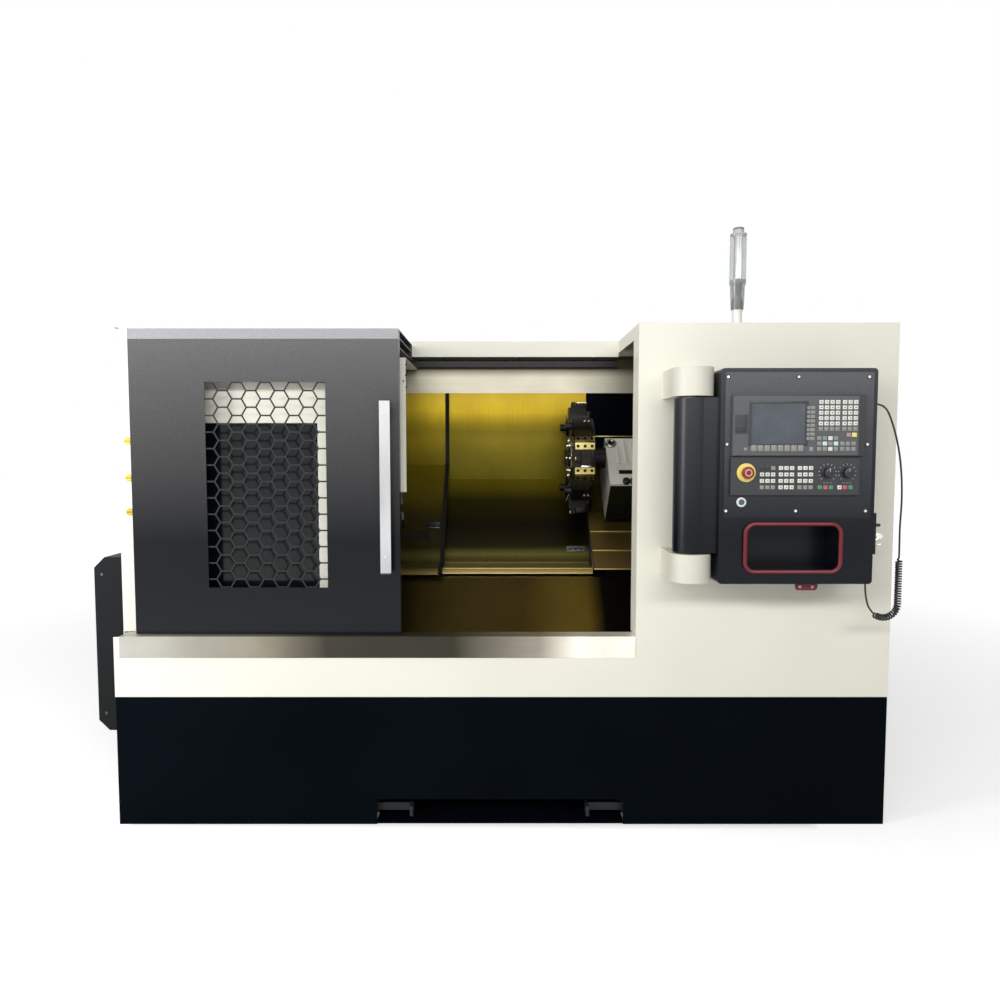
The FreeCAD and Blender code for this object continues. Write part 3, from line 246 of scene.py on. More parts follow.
def grain(tree, spacing_mm, stretch=(1, 1, 1), detail=2, roughness=0.5):
    """Noise whose spots are spacing_mm across; stretch makes them longer along an axis."""
    scaled = add(tree, "ShaderNodeMapping", {
        "Scale": [1000 / spacing_mm / part for part in stretch], "Vector": object_place(tree)})
    return add(tree, "ShaderNodeTexNoise", {
        "Scale": 1, "Detail": detail, "Roughness": roughness, "Vector": scaled})


def spread(tree, source, low, high, start=0.3, end=0.7):
    """Stretch a value from its usual band to the wanted range."""
    return add(tree, "ShaderNodeMapRange", {
        "From Min": start, "From Max": end, "To Min": low, "To Max": high, "Value": source})


def along(tree, axis, start, end):
    """How far a point is along an axis: 0 at start, 1 at end, both in mm."""
    parts = add(tree, "ShaderNodeSeparateXYZ", {"Vector": object_place(tree)})
    return spread(tree, parts.outputs[axis], 0, 1, mm(start), mm(end))


def blend_colours(tree, share, first, second):
    """Mix two colours by a share: each is a hex value or an output."""
    first, second = (linear(colour) if isinstance(colour, str) else colour for colour in (first, second))
    mix = add(tree, "ShaderNodeMix", {"Factor": share, "A": first, "B": second}, data_type="RGBA")
    return mix.outputs["Result"]


def bump(tree, height, depth_mm, strength):
    """Raise the surface by a height pattern, depth_mm deep."""
    return add(tree, "ShaderNodeBump", {"Strength": strength, "Distance": mm(depth_mm), "Height": height})


# %% [markdown]
# ## Powder coat and paint
# Powder coat is dry paint sprayed on and baked. It flows out to a faint orange peel a few
# millimetres wide when it is smooth, and the textured kind keeps a sandy grain of about a
# millimetre that scatters light. The grain is drawn a little coarser than it is, to show. The
# dark door has a semi-gloss coat. A grey is mixed into it more and more towards the top, and into
# the pendant's coats too: this is a painted sheen.

# %% Powder coats


def smooth_coat(name, light, dark, roughness=0.38, specular=0.5):
    """Semi-gloss powder coat: orange peel and a slow drift of tone."""
    material, tree, shader = start_finish(name, roughness=roughness, specular_ior_level=specular)
    drift = spread(tree, grain(tree, 420, detail=1), 0, 1)
    feed(shader, {"Base Color": blend_colours(tree, drift, light, dark),
                  "Normal": bump(tree, grain(tree, 3.5, detail=1), 0.12, 0.25)})
    return material


def textured_coat(name, light, dark, grain_mm, depth, roughness, specular, painted_sheen=None):
    """Textured powder coat: a sandy grain with paler tips, and a painted sheen (colour, from mm, to mm) if
    given, that colour mixed in more towards the top.
    """
    material, tree, shader = start_finish(name, roughness=roughness, specular_ior_level=specular)
    sand = grain(tree, grain_mm, detail=3, roughness=0.6)
    tone = blend_colours(tree, spread(tree, sand, 0, 1, 0.38, 0.66), dark, light)
    if painted_sheen:
        colour, start, end = painted_sheen
        share = calculate(tree, "MULTIPLY", along(tree, "Z", start, end),
                          spread(tree, sand, 0.7, 1.15, 0.35, 0.65))
        tone = blend_colours(tree, share, tone, colour)
    feed(shader, {"Base Color": tone, "Normal": bump(tree, sand, depth, 0.6)})
    return material


off_white_coat = smooth_coat("off_white_powder_coat", "#EAE8DA", "#E5E3D5", 0.42, 0.4)
# The grey given to these three coats is a painted sheen: it lightens them towards the top.
charcoal_coat = textured_coat("charcoal_textured_powder_coat", "#0B1018", "#05070C", 2.2, 0.12, 0.26, 0.22,
                              ("#666565", 1000, 1800))
pendant_coat = textured_coat("charcoal_pendant_powder_coat", "#0A1018", "#05080D", 2.0, 0.12, 0.3, 0.2,
                             ("#46484C", 1040, 1800))
guard_web_coat = textured_coat("dark_honeycomb_powder_coat", "#26282B", "#1B1D20", 2.2, 0.1, 0.4, 0.25)
arm_coat = smooth_coat("off_white_arm_enamel", "#DBD9CA", "#D3D1C2", 0.42, 0.35)
# This lighter grey paints the highlight on the door's folded top.
hem_painted_highlight_coat = textured_coat("grey_painted_highlight_hem_coat", "#9C9EA1", "#87898C", 2.2, 0.3, 0.42, 0.6)
navy_coat = smooth_coat("navy_black_satin_paint", "#050A10", "#03070C", 0.42, 0.02)
guard_coat = textured_coat("charcoal_guard_paint", "#17191B", "#0F1112", 2.0, 0.2, 0.5, 0.12)
casting_enamel = smooth_coat("grey_casting_enamel", "#9EA3A2", "#8D9392", 0.5, 0.4)
housing_enamel = smooth_coat("pale_grey_enamel", "#E6E3D8", "#DAD7CC", 0.42, 0.4)
green_enamel = smooth_coat("dark_green_enamel", "#1B2210", "#141A0B", 0.4, 0.2)
panel_coat = textured_coat("black_panel_powder_coat", "#0C1118", "#070A0F", 1.6, 0.1, 0.3, 0.25,
                           ("#5C5D62", 1060, 1560))

# %% [markdown]
# ## Metals
# Stainless sheet is brushed along its length, so its light is drawn out across the brushing. The
# way covers are steel with a yellow zinc passivate, which looks golden. A ramp along one axis gives
# the tones of these sheets, and on most it paints light and shade: highlights and dark slopes on
# the covers, a reflection on the sill, and shade on the lintel and the chute.

# %% Metals


def brushed_metal(name, light, dark, streak_mm, stretch, rough, depth=0.05):
    """Metal brushed along the long axis of stretch, with slow clouds of tarnish."""
    material, tree, shader = start_finish(name, metallic=1.0)
    streaks = grain(tree, streak_mm, stretch, detail=3)
    clouds = spread(tree, grain(tree, 260, detail=3), 0, 0.55)
    tarnish = spread(tree, calculate(tree, "MULTIPLY_ADD", streaks, 0.45, clouds), 0, 1, 0.25, 0.75)
    feed(shader, {"Base Color": blend_colours(tree, tarnish, dark, light),
                  "Roughness": spread(tree, streaks, *rough), "Normal": bump(tree, streaks, depth, 0.4)})
    return material


# This pale golden metal is a painted highlight: thin strips of it stand for light caught on edges.
painted_highlight_edge = brushed_metal("golden_painted_highlight", "#FFF0B0", "#D9B960", 1.5, (60, 1, 1), (0.3, 0.45), 0.03)
handle_aluminium = brushed_metal("anodised_brushed_aluminium", "#BFC0C0", "#A2A4A4", 0.8, (1, 1, 220),
                                 (0.32, 0.45))
ground_steel = brushed_metal("ground_steel", "#C4C4C2", "#8C8C8A", 0.8, (40, 1, 1), (0.18, 0.35))
turned_steel = brushed_metal("turned_and_ground_chuck_steel", "#B9BABB", "#7E8082", 0.9, (1, 6, 6),
                             (0.18, 0.34))
machined_iron = brushed_metal("machined_cast_iron", "#77797A", "#4D4F50", 1.2, (1, 30, 30), (0.35, 0.55))
zinc_steel = brushed_metal("zinc_plated_steel", "#BDBBB2", "#8B8A82", 1.5, (3, 3, 3), (0.28, 0.45))
bright_screw = brushed_metal("stainless_screw", "#F0F0EE", "#C9C9C7", 0.6, (4, 1, 1), (0.2, 0.32))
brass = brushed_metal("turned_brass", "#E6C65A", "#A88A34", 0.7, (1, 3, 3), (0.22, 0.36))
gilt_steel = brushed_metal("oily_ground_steel", "#F5E69A", "#B39F4A", 0.8, (40, 1, 1), (0.2, 0.36))


def steel_toned_along_axis(name, stops, axis="Z", stretch=(1, 1, 180), metallic=0.6):
    """Brushed steel whose tone changes along an axis: places in mm with their colours. On most sheets the
    ramp paints light and shade into the tone.
    """
    material, tree, shader = start_finish(name, metallic=metallic, specular_ior_level=0.15)
    low, high = stops[0][0], stops[-1][0]
    ramp = add(tree, "ShaderNodeValToRGB", {"Fac": along(tree, axis, low, high)})
    elements = ramp.color_ramp.elements
    elements[0].color, elements[1].color = linear(stops[0][1]), linear(stops[-1][1])
    for level, colour in stops[1:-1]:
        elements.new((level - low) / (high - low)).color = linear(colour)
    streaks = grain(tree, 1.5, stretch, detail=3)
    uneven = calculate(tree, "MULTIPLY", spread(tree, streaks, 0.9, 1.08),
                       spread(tree, grain(tree, 170, detail=3), 0.9, 1.1))
    shade = add(tree, "ShaderNodeVectorMath", {0: ramp, "Scale": uneven}, operation="SCALE")
    feed(shader, {"Base Color": shade, "Roughness": spread(tree, streaks, 0.3, 0.44),
                  "Normal": bump(tree, streaks, 0.04, 0.3)})
    return material


# The height ramps of both way covers paint light and shade: bright at the top and on the ledge at the foot,
# dark down the slope and at the fold.
golden_steel = steel_toned_along_axis("yellow_passivated_sliding_cover_painted_light", [
    (800, "#B8A264"), (829, "#3E381B"), (858, "#5E572A"), (890, "#201B05"), (980, "#120E04"),
    (1085, "#302A06"), (1175, "#766A12"), (1179, "#534B0B"), (1400, "#76681A"), (1490, "#C6A829"),
    (1700, "#8A7936")])
golden_fixed = steel_toned_along_axis("yellow_passivated_fixed_cover_painted_light", [
    (800, "#968450"), (829, "#3E381A"), (858, "#544E25"), (900, "#201B05"), (1022, "#30290D"),
    (1243, "#7B6D13"), (1247, "#675B10"), (1400, "#8C7A1C"), (1500, "#D6B62E"), (1700, "#8C7C38")])
# The chute's ramp along X goes black at its right end: painted shade beside the turret.
chute_steel = steel_toned_along_axis("chute_steel_painted_shade", [
    (-300, "#1C1906"), (-220, "#30270A"), (200, "#322609"), (455, "#584816"), (520, "#0A0703")],
    "X", (1, 40, 40), 0.8)
# The apron's steel is darker towards the top.
brown_steel = steel_toned_along_axis("apron_steel_darker_upwards", [
    (763, "#514321"), (830, "#755E35"), (980, "#5A4C21"), (1240, "#2E2812")])
# The sill's ramp along X paints a reflection: light at the ends, dark in the middle.
sill_steel = steel_toned_along_axis("brushed_stainless_sill_painted_reflection", [
    (-1250, "#B6B5AD"), (-700, "#868070"), (-500, "#3E3B34"), (-60, "#36342B"), (240, "#9A9386"),
    (370, "#F4EEE0")], "X", (260, 1, 1))
# The lintel's ramp paints the shade under the fascia: dark at its top.
lintel_steel = steel_toned_along_axis("brushed_stainless_lintel_painted_shade", [
    (1542, "#B4AF9F"), (1604, "#AEA998"), (1640, "#464232")], "Z", (260, 1, 1))


def oxide_finish(name, light, dark):
    """Steel blackened in hot salts: nearly black, with worn, brighter specks."""
    material, tree, shader = start_finish(name, metallic=0.6)
    wear = grain(tree, 14, detail=4, roughness=0.65)
    feed(shader, {"Base Color": blend_colours(tree, spread(tree, wear, 0, 1, 0.5, 0.78), dark, light),
                  "Roughness": spread(tree, wear, 0.32, 0.5), "Normal": bump(tree, wear, 0.06, 0.3)})
    return material


black_oxide = oxide_finish("black_oxide_steel", "#2C2B29", "#121212")
turret_black = oxide_finish("oiled_black_oxide_turret", "#2E2B22", "#12110F")

# %% [markdown]
# ## Plastics, glass and rubber
# Moulded plastics have a fine spark-eroded grain of a few tenths of a millimetre. The lamp lens
# is clear acrylic, the screen is coated glass over a dark display, and the pane behind the
# honeycomb is smoked polycarbonate, drawn opaque and near black so that it also paints the shade
# inside the machine behind it.

# %% Plastics and glass


def moulded(name, light, dark, roughness=0.4, grain_mm=0.8, specular=0.5):
    """Moulded plastic in one colour with its fine grain."""
    material, tree, shader = start_finish(name, roughness=roughness, specular_ior_level=specular)
    fine = grain(tree, grain_mm)
    feed(shader, {"Base Color": blend_colours(tree, spread(tree, fine, 0, 1), light, dark),
                  "Normal": bump(tree, fine, 0.04, 0.2)})
    return material


def clear_plastic(name, tint, roughness, transmission):
    """Clear acrylic or polycarbonate, with faint moulding waves."""
    material, tree, shader = start_finish(name, roughness=roughness, ior=1.49,
                                          transmission_weight=transmission)
    waves = grain(tree, 9, (1, 1, 3), detail=1)
    feed(shader, {"Base Color": linear(tint), "Normal": bump(tree, waves, 0.15, 0.2)})
    return material


overlay_grey = moulded("grey_panel_overlay", "#505255", "#46484B", 0.42)
unit_black = moulded("dark_moulded_bezel", "#2B2D31", "#232529", 0.4)
lip_black = moulded("near_black_bezel_lip", "#1D1F22", "#17191B", 0.4)
key_white = moulded("white_membrane_key", "#E4E2D9", "#DAD8CF", 0.45)
key_dim = moulded("grey_membrane_key", "#8F8E88", "#85847E", 0.45)
key_soft = moulded("pale_grey_soft_key", "#8E8E88", "#84847E", 0.42)
key_green = moulded("green_membrane_key", "#4F8F6C", "#478463", 0.45)
key_red = moulded("red_membrane_key", "#C46064", "#B9575B", 0.45)
key_pink = moulded("pinkish_membrane_key", "#A8918E", "#9F8885", 0.45)
key_yellow = moulded("yellow_membrane_key", "#F0DF86", "#E6D57C", 0.45)
key_teal = moulded("pale_teal_membrane_key", "#CDEBE2", "#C2E2D8", 0.45)
key_mark = moulded("dark_printed_mark", "#55544F", "#4C4B46", 0.5)
stop_red = moulded("red_moulded_mushroom", "#7C1F1B", "#711A17", 0.3)
stop_pale = moulded("pale_printed_ring", "#E2A79C", "#D99C91", 0.4)
stop_yellow = moulded("yellow_moulded_collar", "#F3DA74", "#EACF68", 0.38)
knob_black = moulded("black_moulded_knob", "#1B1C1E", "#141516", 0.38)
mark_white = moulded("white_printed_mark", "#C9C9C5", "#BFBFBB", 0.5)
button_white = moulded("white_button_bezel", "#E8E9E8", "#DEE0DF", 0.3)
button_blue = moulded("blue_grey_button_cap", "#3F6470", "#385B66", 0.3)
lamp_white = moulded("white_lamp_plastic", "#F2F2EC", "#E9E9E3", 0.35)
lamp_grey = moulded("grey_lamp_base", "#7C7F81", "#66696B", 0.35)
red_enamel = moulded("dark_red_enamel", "#74222C", "#671C25", 0.32, 2.5, 0.3)
cord_rubber = moulded("black_cord_rubber", "#1A1B1C", "#111213", 0.42, 0.6)
seal_rubber = moulded("black_seal_rubber", "#131211", "#0B0A09", 0.6, 1.0, 0.15)
lamp_clear = clear_plastic("clear_acrylic_lens", "#ECEFEF", 0.12, 0.8)
lamp_edge = moulded("dark_circuit_board_edge", "#4A4C4E", "#3C3E40", 0.4)
lamp_cap = moulded("pale_grey_lamp_cap", "#C2C4C4", "#B4B6B6", 0.35)
lamp_smoke = clear_plastic("smoky_acrylic_socket", "#B4B8BA", 0.14, 0.7)
# The smoked pane is opaque and near black: it also paints the shade inside the machine behind it.
smoked_pane = moulded("smoked_polycarbonate_and_painted_shade", "#111416", "#0B0D0F", 0.14, 30, 0.35)
screen_glass = moulded("coated_screen_glass", "#565B62", "#4A5058", 0.14, 60)

# %% [markdown]
# ## Dressing the CAD solids
# A solid whose shape is already right keeps its mesh and only gets a finish. The table says
# which finish each node has on the real machine.

# %% Finishes on the CAD nodes
FINISHES = {
    off_white_coat: ["front_cover", "left_cover", "left_side_panel", "right_side_panel", "rear_panel",
                     "roof"],
    arm_coat: ["upper_arm", "lower_arm"],
    charcoal_coat: ["door_panel"],
    guard_web_coat: ["hex_guard"],
    pendant_coat: ["pendant_box"],
    navy_coat: ["skirt_front", "skirt_left", "skirt_right", "skirt_rear"],
    guard_coat: ["end_guard"],
    casting_enamel: ["bed", "headstock"],
    housing_enamel: ["turret_housing"],
    sill_steel: ["door_sill"],
    lintel_steel: ["lintel"],
    golden_fixed: ["fixed_way_cover"],
    golden_steel: ["sliding_way_cover"],
    chute_steel: ["chip_chute"],
    brown_steel: ["apron_middle", "apron_lower", "cross_slide"],
    handle_aluminium: ["door_handle"],
    ground_steel: ["z_rails", "spindle"],
    turned_steel: ["chuck", "jaw_1", "jaw_2", "jaw_3"],
    machined_iron: ["saddle"],
    zinc_steel: ["levelling_feet"],
    # The door rail is blackened, and its dark also paints the band of shade under the fascia.
    black_oxide: ["chuck_cylinder", "side_block", "cord_glands", "door_rail"],
    turret_black: ["turret_disc", "tool_holders"],
    panel_coat: ["pendant_face"],
    overlay_grey: ["display_unit"],
    unit_black: ["control_unit"],
    screen_glass: ["display_screen"],
    smoked_pane: ["inner_window"],
    red_enamel: ["lock_tab", "pocket_frame"],
    lamp_clear: ["lamp_lens"],
    lamp_grey: ["lamp_base"],
    key_white: ["panel_keys"],
    stop_red: ["emergency_stop"],
    knob_black: ["feed_knob", "speed_knob"],
    button_blue: ["start_button"],
    cord_rubber: ["upper_lead", "curly_cord", "lower_lead"],
}
for finish, names in FINISHES.items():
    for name in names:
        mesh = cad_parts[name].data
        mesh.materials.clear()
        mesh.materials.append(finish)
cord_curve.materials.append(cord_rubber)
print("nodes dressed", sum(len(names) for names in FINISHES.values()), "of", len(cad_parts))

# %% [markdown]
# ## Building pieces
# A piece is built the way its maker builds it: bent or cut from plate, turned on a lathe, or
# bent from tube. A Form collects such shapes, measured in millimetres from a point, each in its
# finish, and then puts them in the scene as one piece. Edges are rounded a little, because a real
# edge always catches some light.

# %% A form in the making
AXES = {"x": Vector((1, 0, 0)), "-x": Vector((-1, 0, 0)), "y": Vector((0, 1, 0)),
        "-y": Vector((0, -1, 0)), "z": Vector((0, 0, 1)), "-z": Vector((0, 0, -1))}
SIDES = {"front": ("-y", 0), "right": ("x", 90), "rear": ("y", 180), "left": ("-x", -90)}
LARGE_FACE = mm(40) * mm(40)
SHARP_EDGE = math.radians(35)


def baked(shape):
    """A bmesh as a plain mesh, its doubled points merged."""
    bmesh.ops.remove_doubles(shape, verts=shape.verts, dist=1e-6)
    bmesh.ops.recalc_face_normals(shape, faces=shape.faces)
    mesh = bpy.data.meshes.new("shape")
    shape.to_mesh(mesh)
    shape.free()
    return mesh


def along_lines(lines, closed, matrix=None, **settings):
    """A mesh of a curve through each line of points, with the curve's settings."""
    curve = bpy.data.curves.new("lines", "CURVE")
    for key, value in settings.items():
        setattr(curve, key, value)
    for line in lines:
        way = curve.splines.new("POLY")
        way.points.add(len(line) - 1)
        for spot, point in zip(way.points, line):
            spot.co = (*point, 1)
        way.use_cyclic_u = closed
    holder = bpy.data.objects.new("lines", curve)
    mesh = bpy.data.meshes.new_from_object(holder)
    mesh.transform(matrix or Matrix())
    shape = bmesh.new()
    shape.from_mesh(mesh)
    bpy.data.meshes.remove(mesh)
    bpy.data.objects.remove(holder)
    bpy.data.curves.remove(curve)
    return baked(shape)


class Form:
    """A mesh in the making, in mm from a point: shapes are added to it, each in its finish."""

    def __init__(self, at=(0, 0, 0)):
        self.shape = bmesh.new()
        self.finishes = []
        self.at = mm(*at)

    def spot(self, point):
        """A point of the form in metres."""
        return self.at + mm(*point)

    def take(self, mesh, finish=None):
        """Add a mesh in a finish."""
        if finish not in self.finishes:
            self.finishes.append(finish)
        start = len(self.shape.faces)
        self.shape.from_mesh(mesh)
        self.shape.faces.ensure_lookup_table()
        for added in self.shape.faces[start:]:
            added.material_index = self.finishes.index(finish)
        bpy.data.meshes.remove(mesh)
        return self

    def box(self, low, high, finish=None, edge=0.8):
        """A box between two corners, its edges rounded."""
        low, high = self.spot(low), self.spot(high)
        shape = bmesh.new()
        bmesh.ops.create_cube(shape, size=1, matrix=Matrix.Translation((low + high) / 2)
                              @ Matrix.Diagonal((*(high - low), 1)))
        bmesh.ops.bevel(shape, geom=shape.edges[:], offset=mm(edge), segments=2, profile=0.5, affect="EDGES")
        return self.take(baked(shape), finish)

    def turned(self, profile, axis, finish=None, sides=32, at=(0, 0, 0), flutes=0, flute_depth=0):
        """A shape turned on a lathe: (radius, height) round an axis through a point, fluted if asked."""
        place = Matrix.Translation(self.spot(at)) @ AXES[axis].to_track_quat("Z", "Y").to_matrix().to_4x4()
        shape = bmesh.new()
        rings = []
        for radius, height in profile:
            if radius == 0:
                rings.append([shape.verts.new(place @ mm(0, 0, height))] * sides)
                continue
            ring = []
            for side in range(sides):
                angle = 2 * math.pi * side / sides
                reach = radius * (1 - flute_depth * (0.5 + 0.5 * math.cos(flutes * angle)))
                point = mm(reach * math.cos(angle), reach * math.sin(angle), height)
                ring.append(shape.verts.new(place @ point))
            rings.append(ring)
        if profile[0] == profile[-1]:
            rings[-1] = rings[0]
        for below, above in zip(rings, rings[1:]):
            for side in range(sides):
                after = (side + 1) % sides
                corners = list(dict.fromkeys((below[side], below[after], above[after], above[side])))
                shape.faces.new(corners)
        if profile[0] != profile[-1]:
            for ring in (rings[0], rings[-1]):
                if ring[0] is not ring[1]:
                    shape.faces.new(ring)
        return self.take(baked(shape), finish)

    def plate(self, outlines, level, thickness, finish=None, side="front", edge=0.5):
        """A flat plate on a level, facing a side: the border, then the holes, in two coordinates."""
        flip = -1 if side in ("rear", "left") else 1
        axis, turn = SIDES[side]
        foot = Vector(abs(part) * mm(level) for part in AXES[axis]) + AXES[axis] * mm(thickness) / 2
        matrix = (Matrix.Translation(foot) @ Matrix.Rotation(math.radians(turn), 4, "Z")
                  @ Matrix.Rotation(math.radians(90), 4, "X"))
        lines = [[(mm(across) * flip, mm(up), 0) for across, up in outline] for outline in outlines]
        return self.take(along_lines(lines, True, matrix, dimensions="2D", fill_mode="BOTH",
                                     extrude=mm(thickness) / 2 - mm(edge), bevel_depth=mm(edge),
                                     bevel_resolution=1, offset=-mm(edge)), finish)

    def tube(self, points, radius, finish=None, closed=False):
        """A round bar bent along points."""
        return self.take(along_lines([[self.spot(point) for point in points]], closed, dimensions="3D",
                                     bevel_depth=mm(radius), bevel_resolution=3, use_fill_caps=True), finish)

    def ribbon(self, path, left, right, shift, finish=None):
        """A thin strip that follows a folded path of (y, z), between two planes, shifted off it."""
        shape = bmesh.new()
        rows = [[shape.verts.new(self.spot((x, y + shift[0] * k, z + shift[1] * k))) for y, z in path]
                for x, k in ((left, 0), (left, 1), (right, 1), (right, 0))]
        for a, b in zip(rows, rows[1:] + rows[:1]):
            for i in range(len(path) - 1):
                shape.faces.new((a[i], a[i + 1], b[i + 1], b[i]))
        for i in (0, len(path) - 1):
            shape.faces.new([row[i] for row in rows])
        return self.take(baked(shape), finish)

    def mesh(self, matrix=None):
        """The form as a plain mesh, moved by a matrix."""
        mesh = bpy.data.meshes.new("shape")
        self.shape.to_mesh(mesh)
        self.shape.free()
        mesh.transform(matrix or Matrix())
        return mesh

    def place(self, name, body, slot, *nodes, matrix=None):
        """Put the form in the scene as a piece that rides on a body, and stands for CAD nodes."""
        mesh = self.mesh(matrix)
        mesh.name = name
        for finish in self.finishes:
            mesh.materials.append(finish)
        mesh.shade_smooth()
        mesh.set_sharp_from_angle(angle=SHARP_EDGE)
        for flat in mesh.polygons:
            if flat.area > LARGE_FACE:
                flat.use_smooth = False
        piece = bpy.data.objects.new(name, mesh)
        scene.collection.objects.link(piece)
        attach(piece, body)
        if nodes:
            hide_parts(*nodes)
        print(name, "faces", len(mesh.polygons))


def rounded(left, right, low, high, radius, steps=6):
    """The outline of a rectangle with round corners."""
    centres = ((right - radius, high - radius), (left + radius, high - radius),
               (left + radius, low + radius), (right - radius, low + radius))
    return [(x + radius * math.cos(angle), z + radius * math.sin(angle))
            for turn, (x, z) in enumerate(centres)
            for angle in (math.radians(90 * (turn + step / steps)) for step in range(steps + 1))]


def rounded_place(place, radius, across=0, up=0):
    """The outline of a place's front with round corners, grown across and up."""
    return rounded(place.left - across, place.right + across, place.low - up, place.high + up, radius)


def rectangle(left, right, low, high):
    """The outline of a rectangle."""
    return [(left, low), (right, low), (right, high), (left, high)]


def circle(x, z, radius, sides=24):
    """The outline of a circle."""
    angles = (2 * math.pi * step / sides for step in range(sides))
    return [(x + radius * math.cos(angle), z + radius * math.sin(angle)) for angle in angles]


# %% [markdown]
# ## What repeats
# Keys, screws, louvres and bolts repeat in rows or round a ring. Two Geometry Nodes trees make
# them from one unit each: the first steps it along columns and rows, the second turns it about an
# axis. Both end in Realize Instances and Set Material, so the result is one plain mesh.

# %% Trees that repeat a unit


def start_tree(name, inputs):
    """A geometry tree with a unit and named inputs; returns it with what its input node gives."""
    tree = bpy.data.node_groups.new(name, "GeometryNodeTree")
    tree.interface.new_socket("Result", in_out="OUTPUT", socket_type="NodeSocketGeometry")
    for label, kind in {"Unit": "Geometry", **inputs}.items():
        tree.interface.new_socket(label, in_out="INPUT", socket_type="NodeSocket" + kind)
    return tree, add(tree, "NodeGroupInput").outputs


def end_tree(tree, instances, finish, shift=(0, 0, 0)):
    """Realize the instances, move them if asked, and give them their material."""
    real = add(tree, "GeometryNodeRealizeInstances", {"Geometry": instances})
    moved = add(tree, "GeometryNodeTransform", {"Geometry": real, "Translation": shift})
    painted = add(tree, "GeometryNodeSetMaterial", {"Geometry": moved, "Material": finish})
    add(tree, "NodeGroupOutput", {0: painted})


rows_tree, given = start_tree("rows_and_columns", {
    "Columns": "Int", "Rows": "Int", "Column Step": "Vector", "Row Step": "Vector", "Finish": "Material"})
lines = [add(rows_tree, "GeometryNodeMeshLine", {"Count": given[count], "Offset": given[step]}, mode="OFFSET")
         for count, step in (("Columns", "Column Step"), ("Rows", "Row Step"))]
grid = add(rows_tree, "GeometryNodeInstanceOnPoints", {"Points": lines[0], "Instance": lines[1]})
spots = add(rows_tree, "GeometryNodeRealizeInstances", {"Geometry": grid})
units = add(rows_tree, "GeometryNodeInstanceOnPoints", {"Points": spots, "Instance": given["Unit"]})
end_tree(rows_tree, units, given["Finish"])

ring_tree, given = start_tree("round_an_axis", {
    "Count": "Int", "Step": "Float", "Axis": "Vector", "Centre": "Vector", "Finish": "Material"})
away = add(ring_tree, "ShaderNodeVectorMath", {0: given["Centre"], "Scale": -1}, operation="SCALE")
unit = add(ring_tree, "GeometryNodeTransform", {"Geometry": given["Unit"], "Translation": away})
spots = add(ring_tree, "GeometryNodeMeshLine", {"Offset": (0, 0, 0), "Count": given["Count"]}, mode="OFFSET")
angle = calculate(ring_tree, "MULTIPLY", add(ring_tree, "GeometryNodeInputIndex"), given["Step"])
turn = add(ring_tree, "FunctionNodeAxisAngleToRotation", {"Axis": given["Axis"], "Angle": angle})
units = add(ring_tree, "GeometryNodeInstanceOnPoints", {"Points": spots, "Instance": unit, "Rotation": turn})
end_tree(ring_tree, units, given["Finish"], given["Centre"])


def grown(tree, unit, **values):
    """Run a tree on a unit's mesh and keep the result as a plain mesh."""
    holder = bpy.data.objects.new("unit", unit)
    scene.collection.objects.link(holder)
    modifier = holder.modifiers.new("tree", "NODES")
    modifier.node_group = tree
    sockets = {item.name: item.identifier for item in tree.interface.items_tree if item.in_out == "INPUT"}
    for label, value in values.items():
        if hasattr(value, "__len__"):
            value = [float(part) for part in value]
        modifier[sockets[label.replace("_", " ").title()]] = value
    seen = holder.evaluated_get(bpy.context.evaluated_depsgraph_get())
    mesh = bpy.data.meshes.new_from_object(seen)
    bpy.data.objects.remove(holder)
    bpy.data.meshes.remove(unit)
    return mesh


def in_rows(form, unit, finish, columns=1, rows=1, column_step=(0, 0, 0), row_step=(0, 0, 0)):
    """Add a unit to a form in columns and rows, with steps in mm."""
    form.take(grown(rows_tree, unit.mesh(), columns=columns, rows=rows, column_step=mm(*column_step),
                    row_step=mm(*row_step), finish=finish), finish)


def in_ring(form, unit, finish, count, axis, step=None, matrix=None):
    """Add a unit, moved by a matrix, round an axis through its point: all round, or every step degrees."""
    form.take(grown(ring_tree, unit.mesh(matrix), count=count, step=math.radians(step or 360 / count),
                    axis=AXES[axis], centre=unit.at, finish=finish), finish)


def plug(radius, top_radius, shoulder, top, sunk=1.0):
    """The profile of a round button or cap: sunk in a surface, its upper edge broken."""
    return [(0, -sunk), (radius, -sunk), (radius, shoulder), (top_radius, top), (0, top)]


def socket_screw(radius, height, at, axis, origin=(0, 0, 0)):
    """A screw's head with its round socket, on a surface."""
    profile = [(radius, -0.2), (radius, height * 0.6), (radius * 0.88, height), (radius * 0.5, height),
               (radius * 0.45, height * 0.4), (0, height * 0.4)]
    return Form(origin).turned(profile, axis, sides=20, at=at)


# %% [markdown]
# ## The keys
# The keys are membrane domes under a printed film: low blocks with rounded edges, white for
# letters and numbers, grey for the rest, and coloured where they start or stop something. Rows of
# one colour come from one cap. The print is left off, apart from a plain dash on most white caps.

# %% Key caps
keys = Form()
WIDE = (17.4, 20.2)
CAP = (13.4, 12)


def key_field(unit, left, low, columns, rows, finish, marked=False, pitch=(17.4, 16.7), size=CAP):
    """Add columns and rows of caps on a unit's face, from its lower left corner."""
    corner = (unit.left + left, unit.front, unit.low + low)
    repeats = (columns, rows, (pitch[0], 0, 0), (0, 0, pitch[1]))
    in_rows(keys, Form(corner).box((0, -1.5, 0), (size[0], 0, size[1]), edge=0.6), finish, *repeats)
    if marked:
        x, z = size[0] / 2, size[1] / 2
        dash = Form(corner).box((x - 2.6, -1.62, z - 1.2), (x + 2.6, -1.4, z + 1.2), edge=0.05)
        in_rows(keys, dash, key_mark, *repeats)


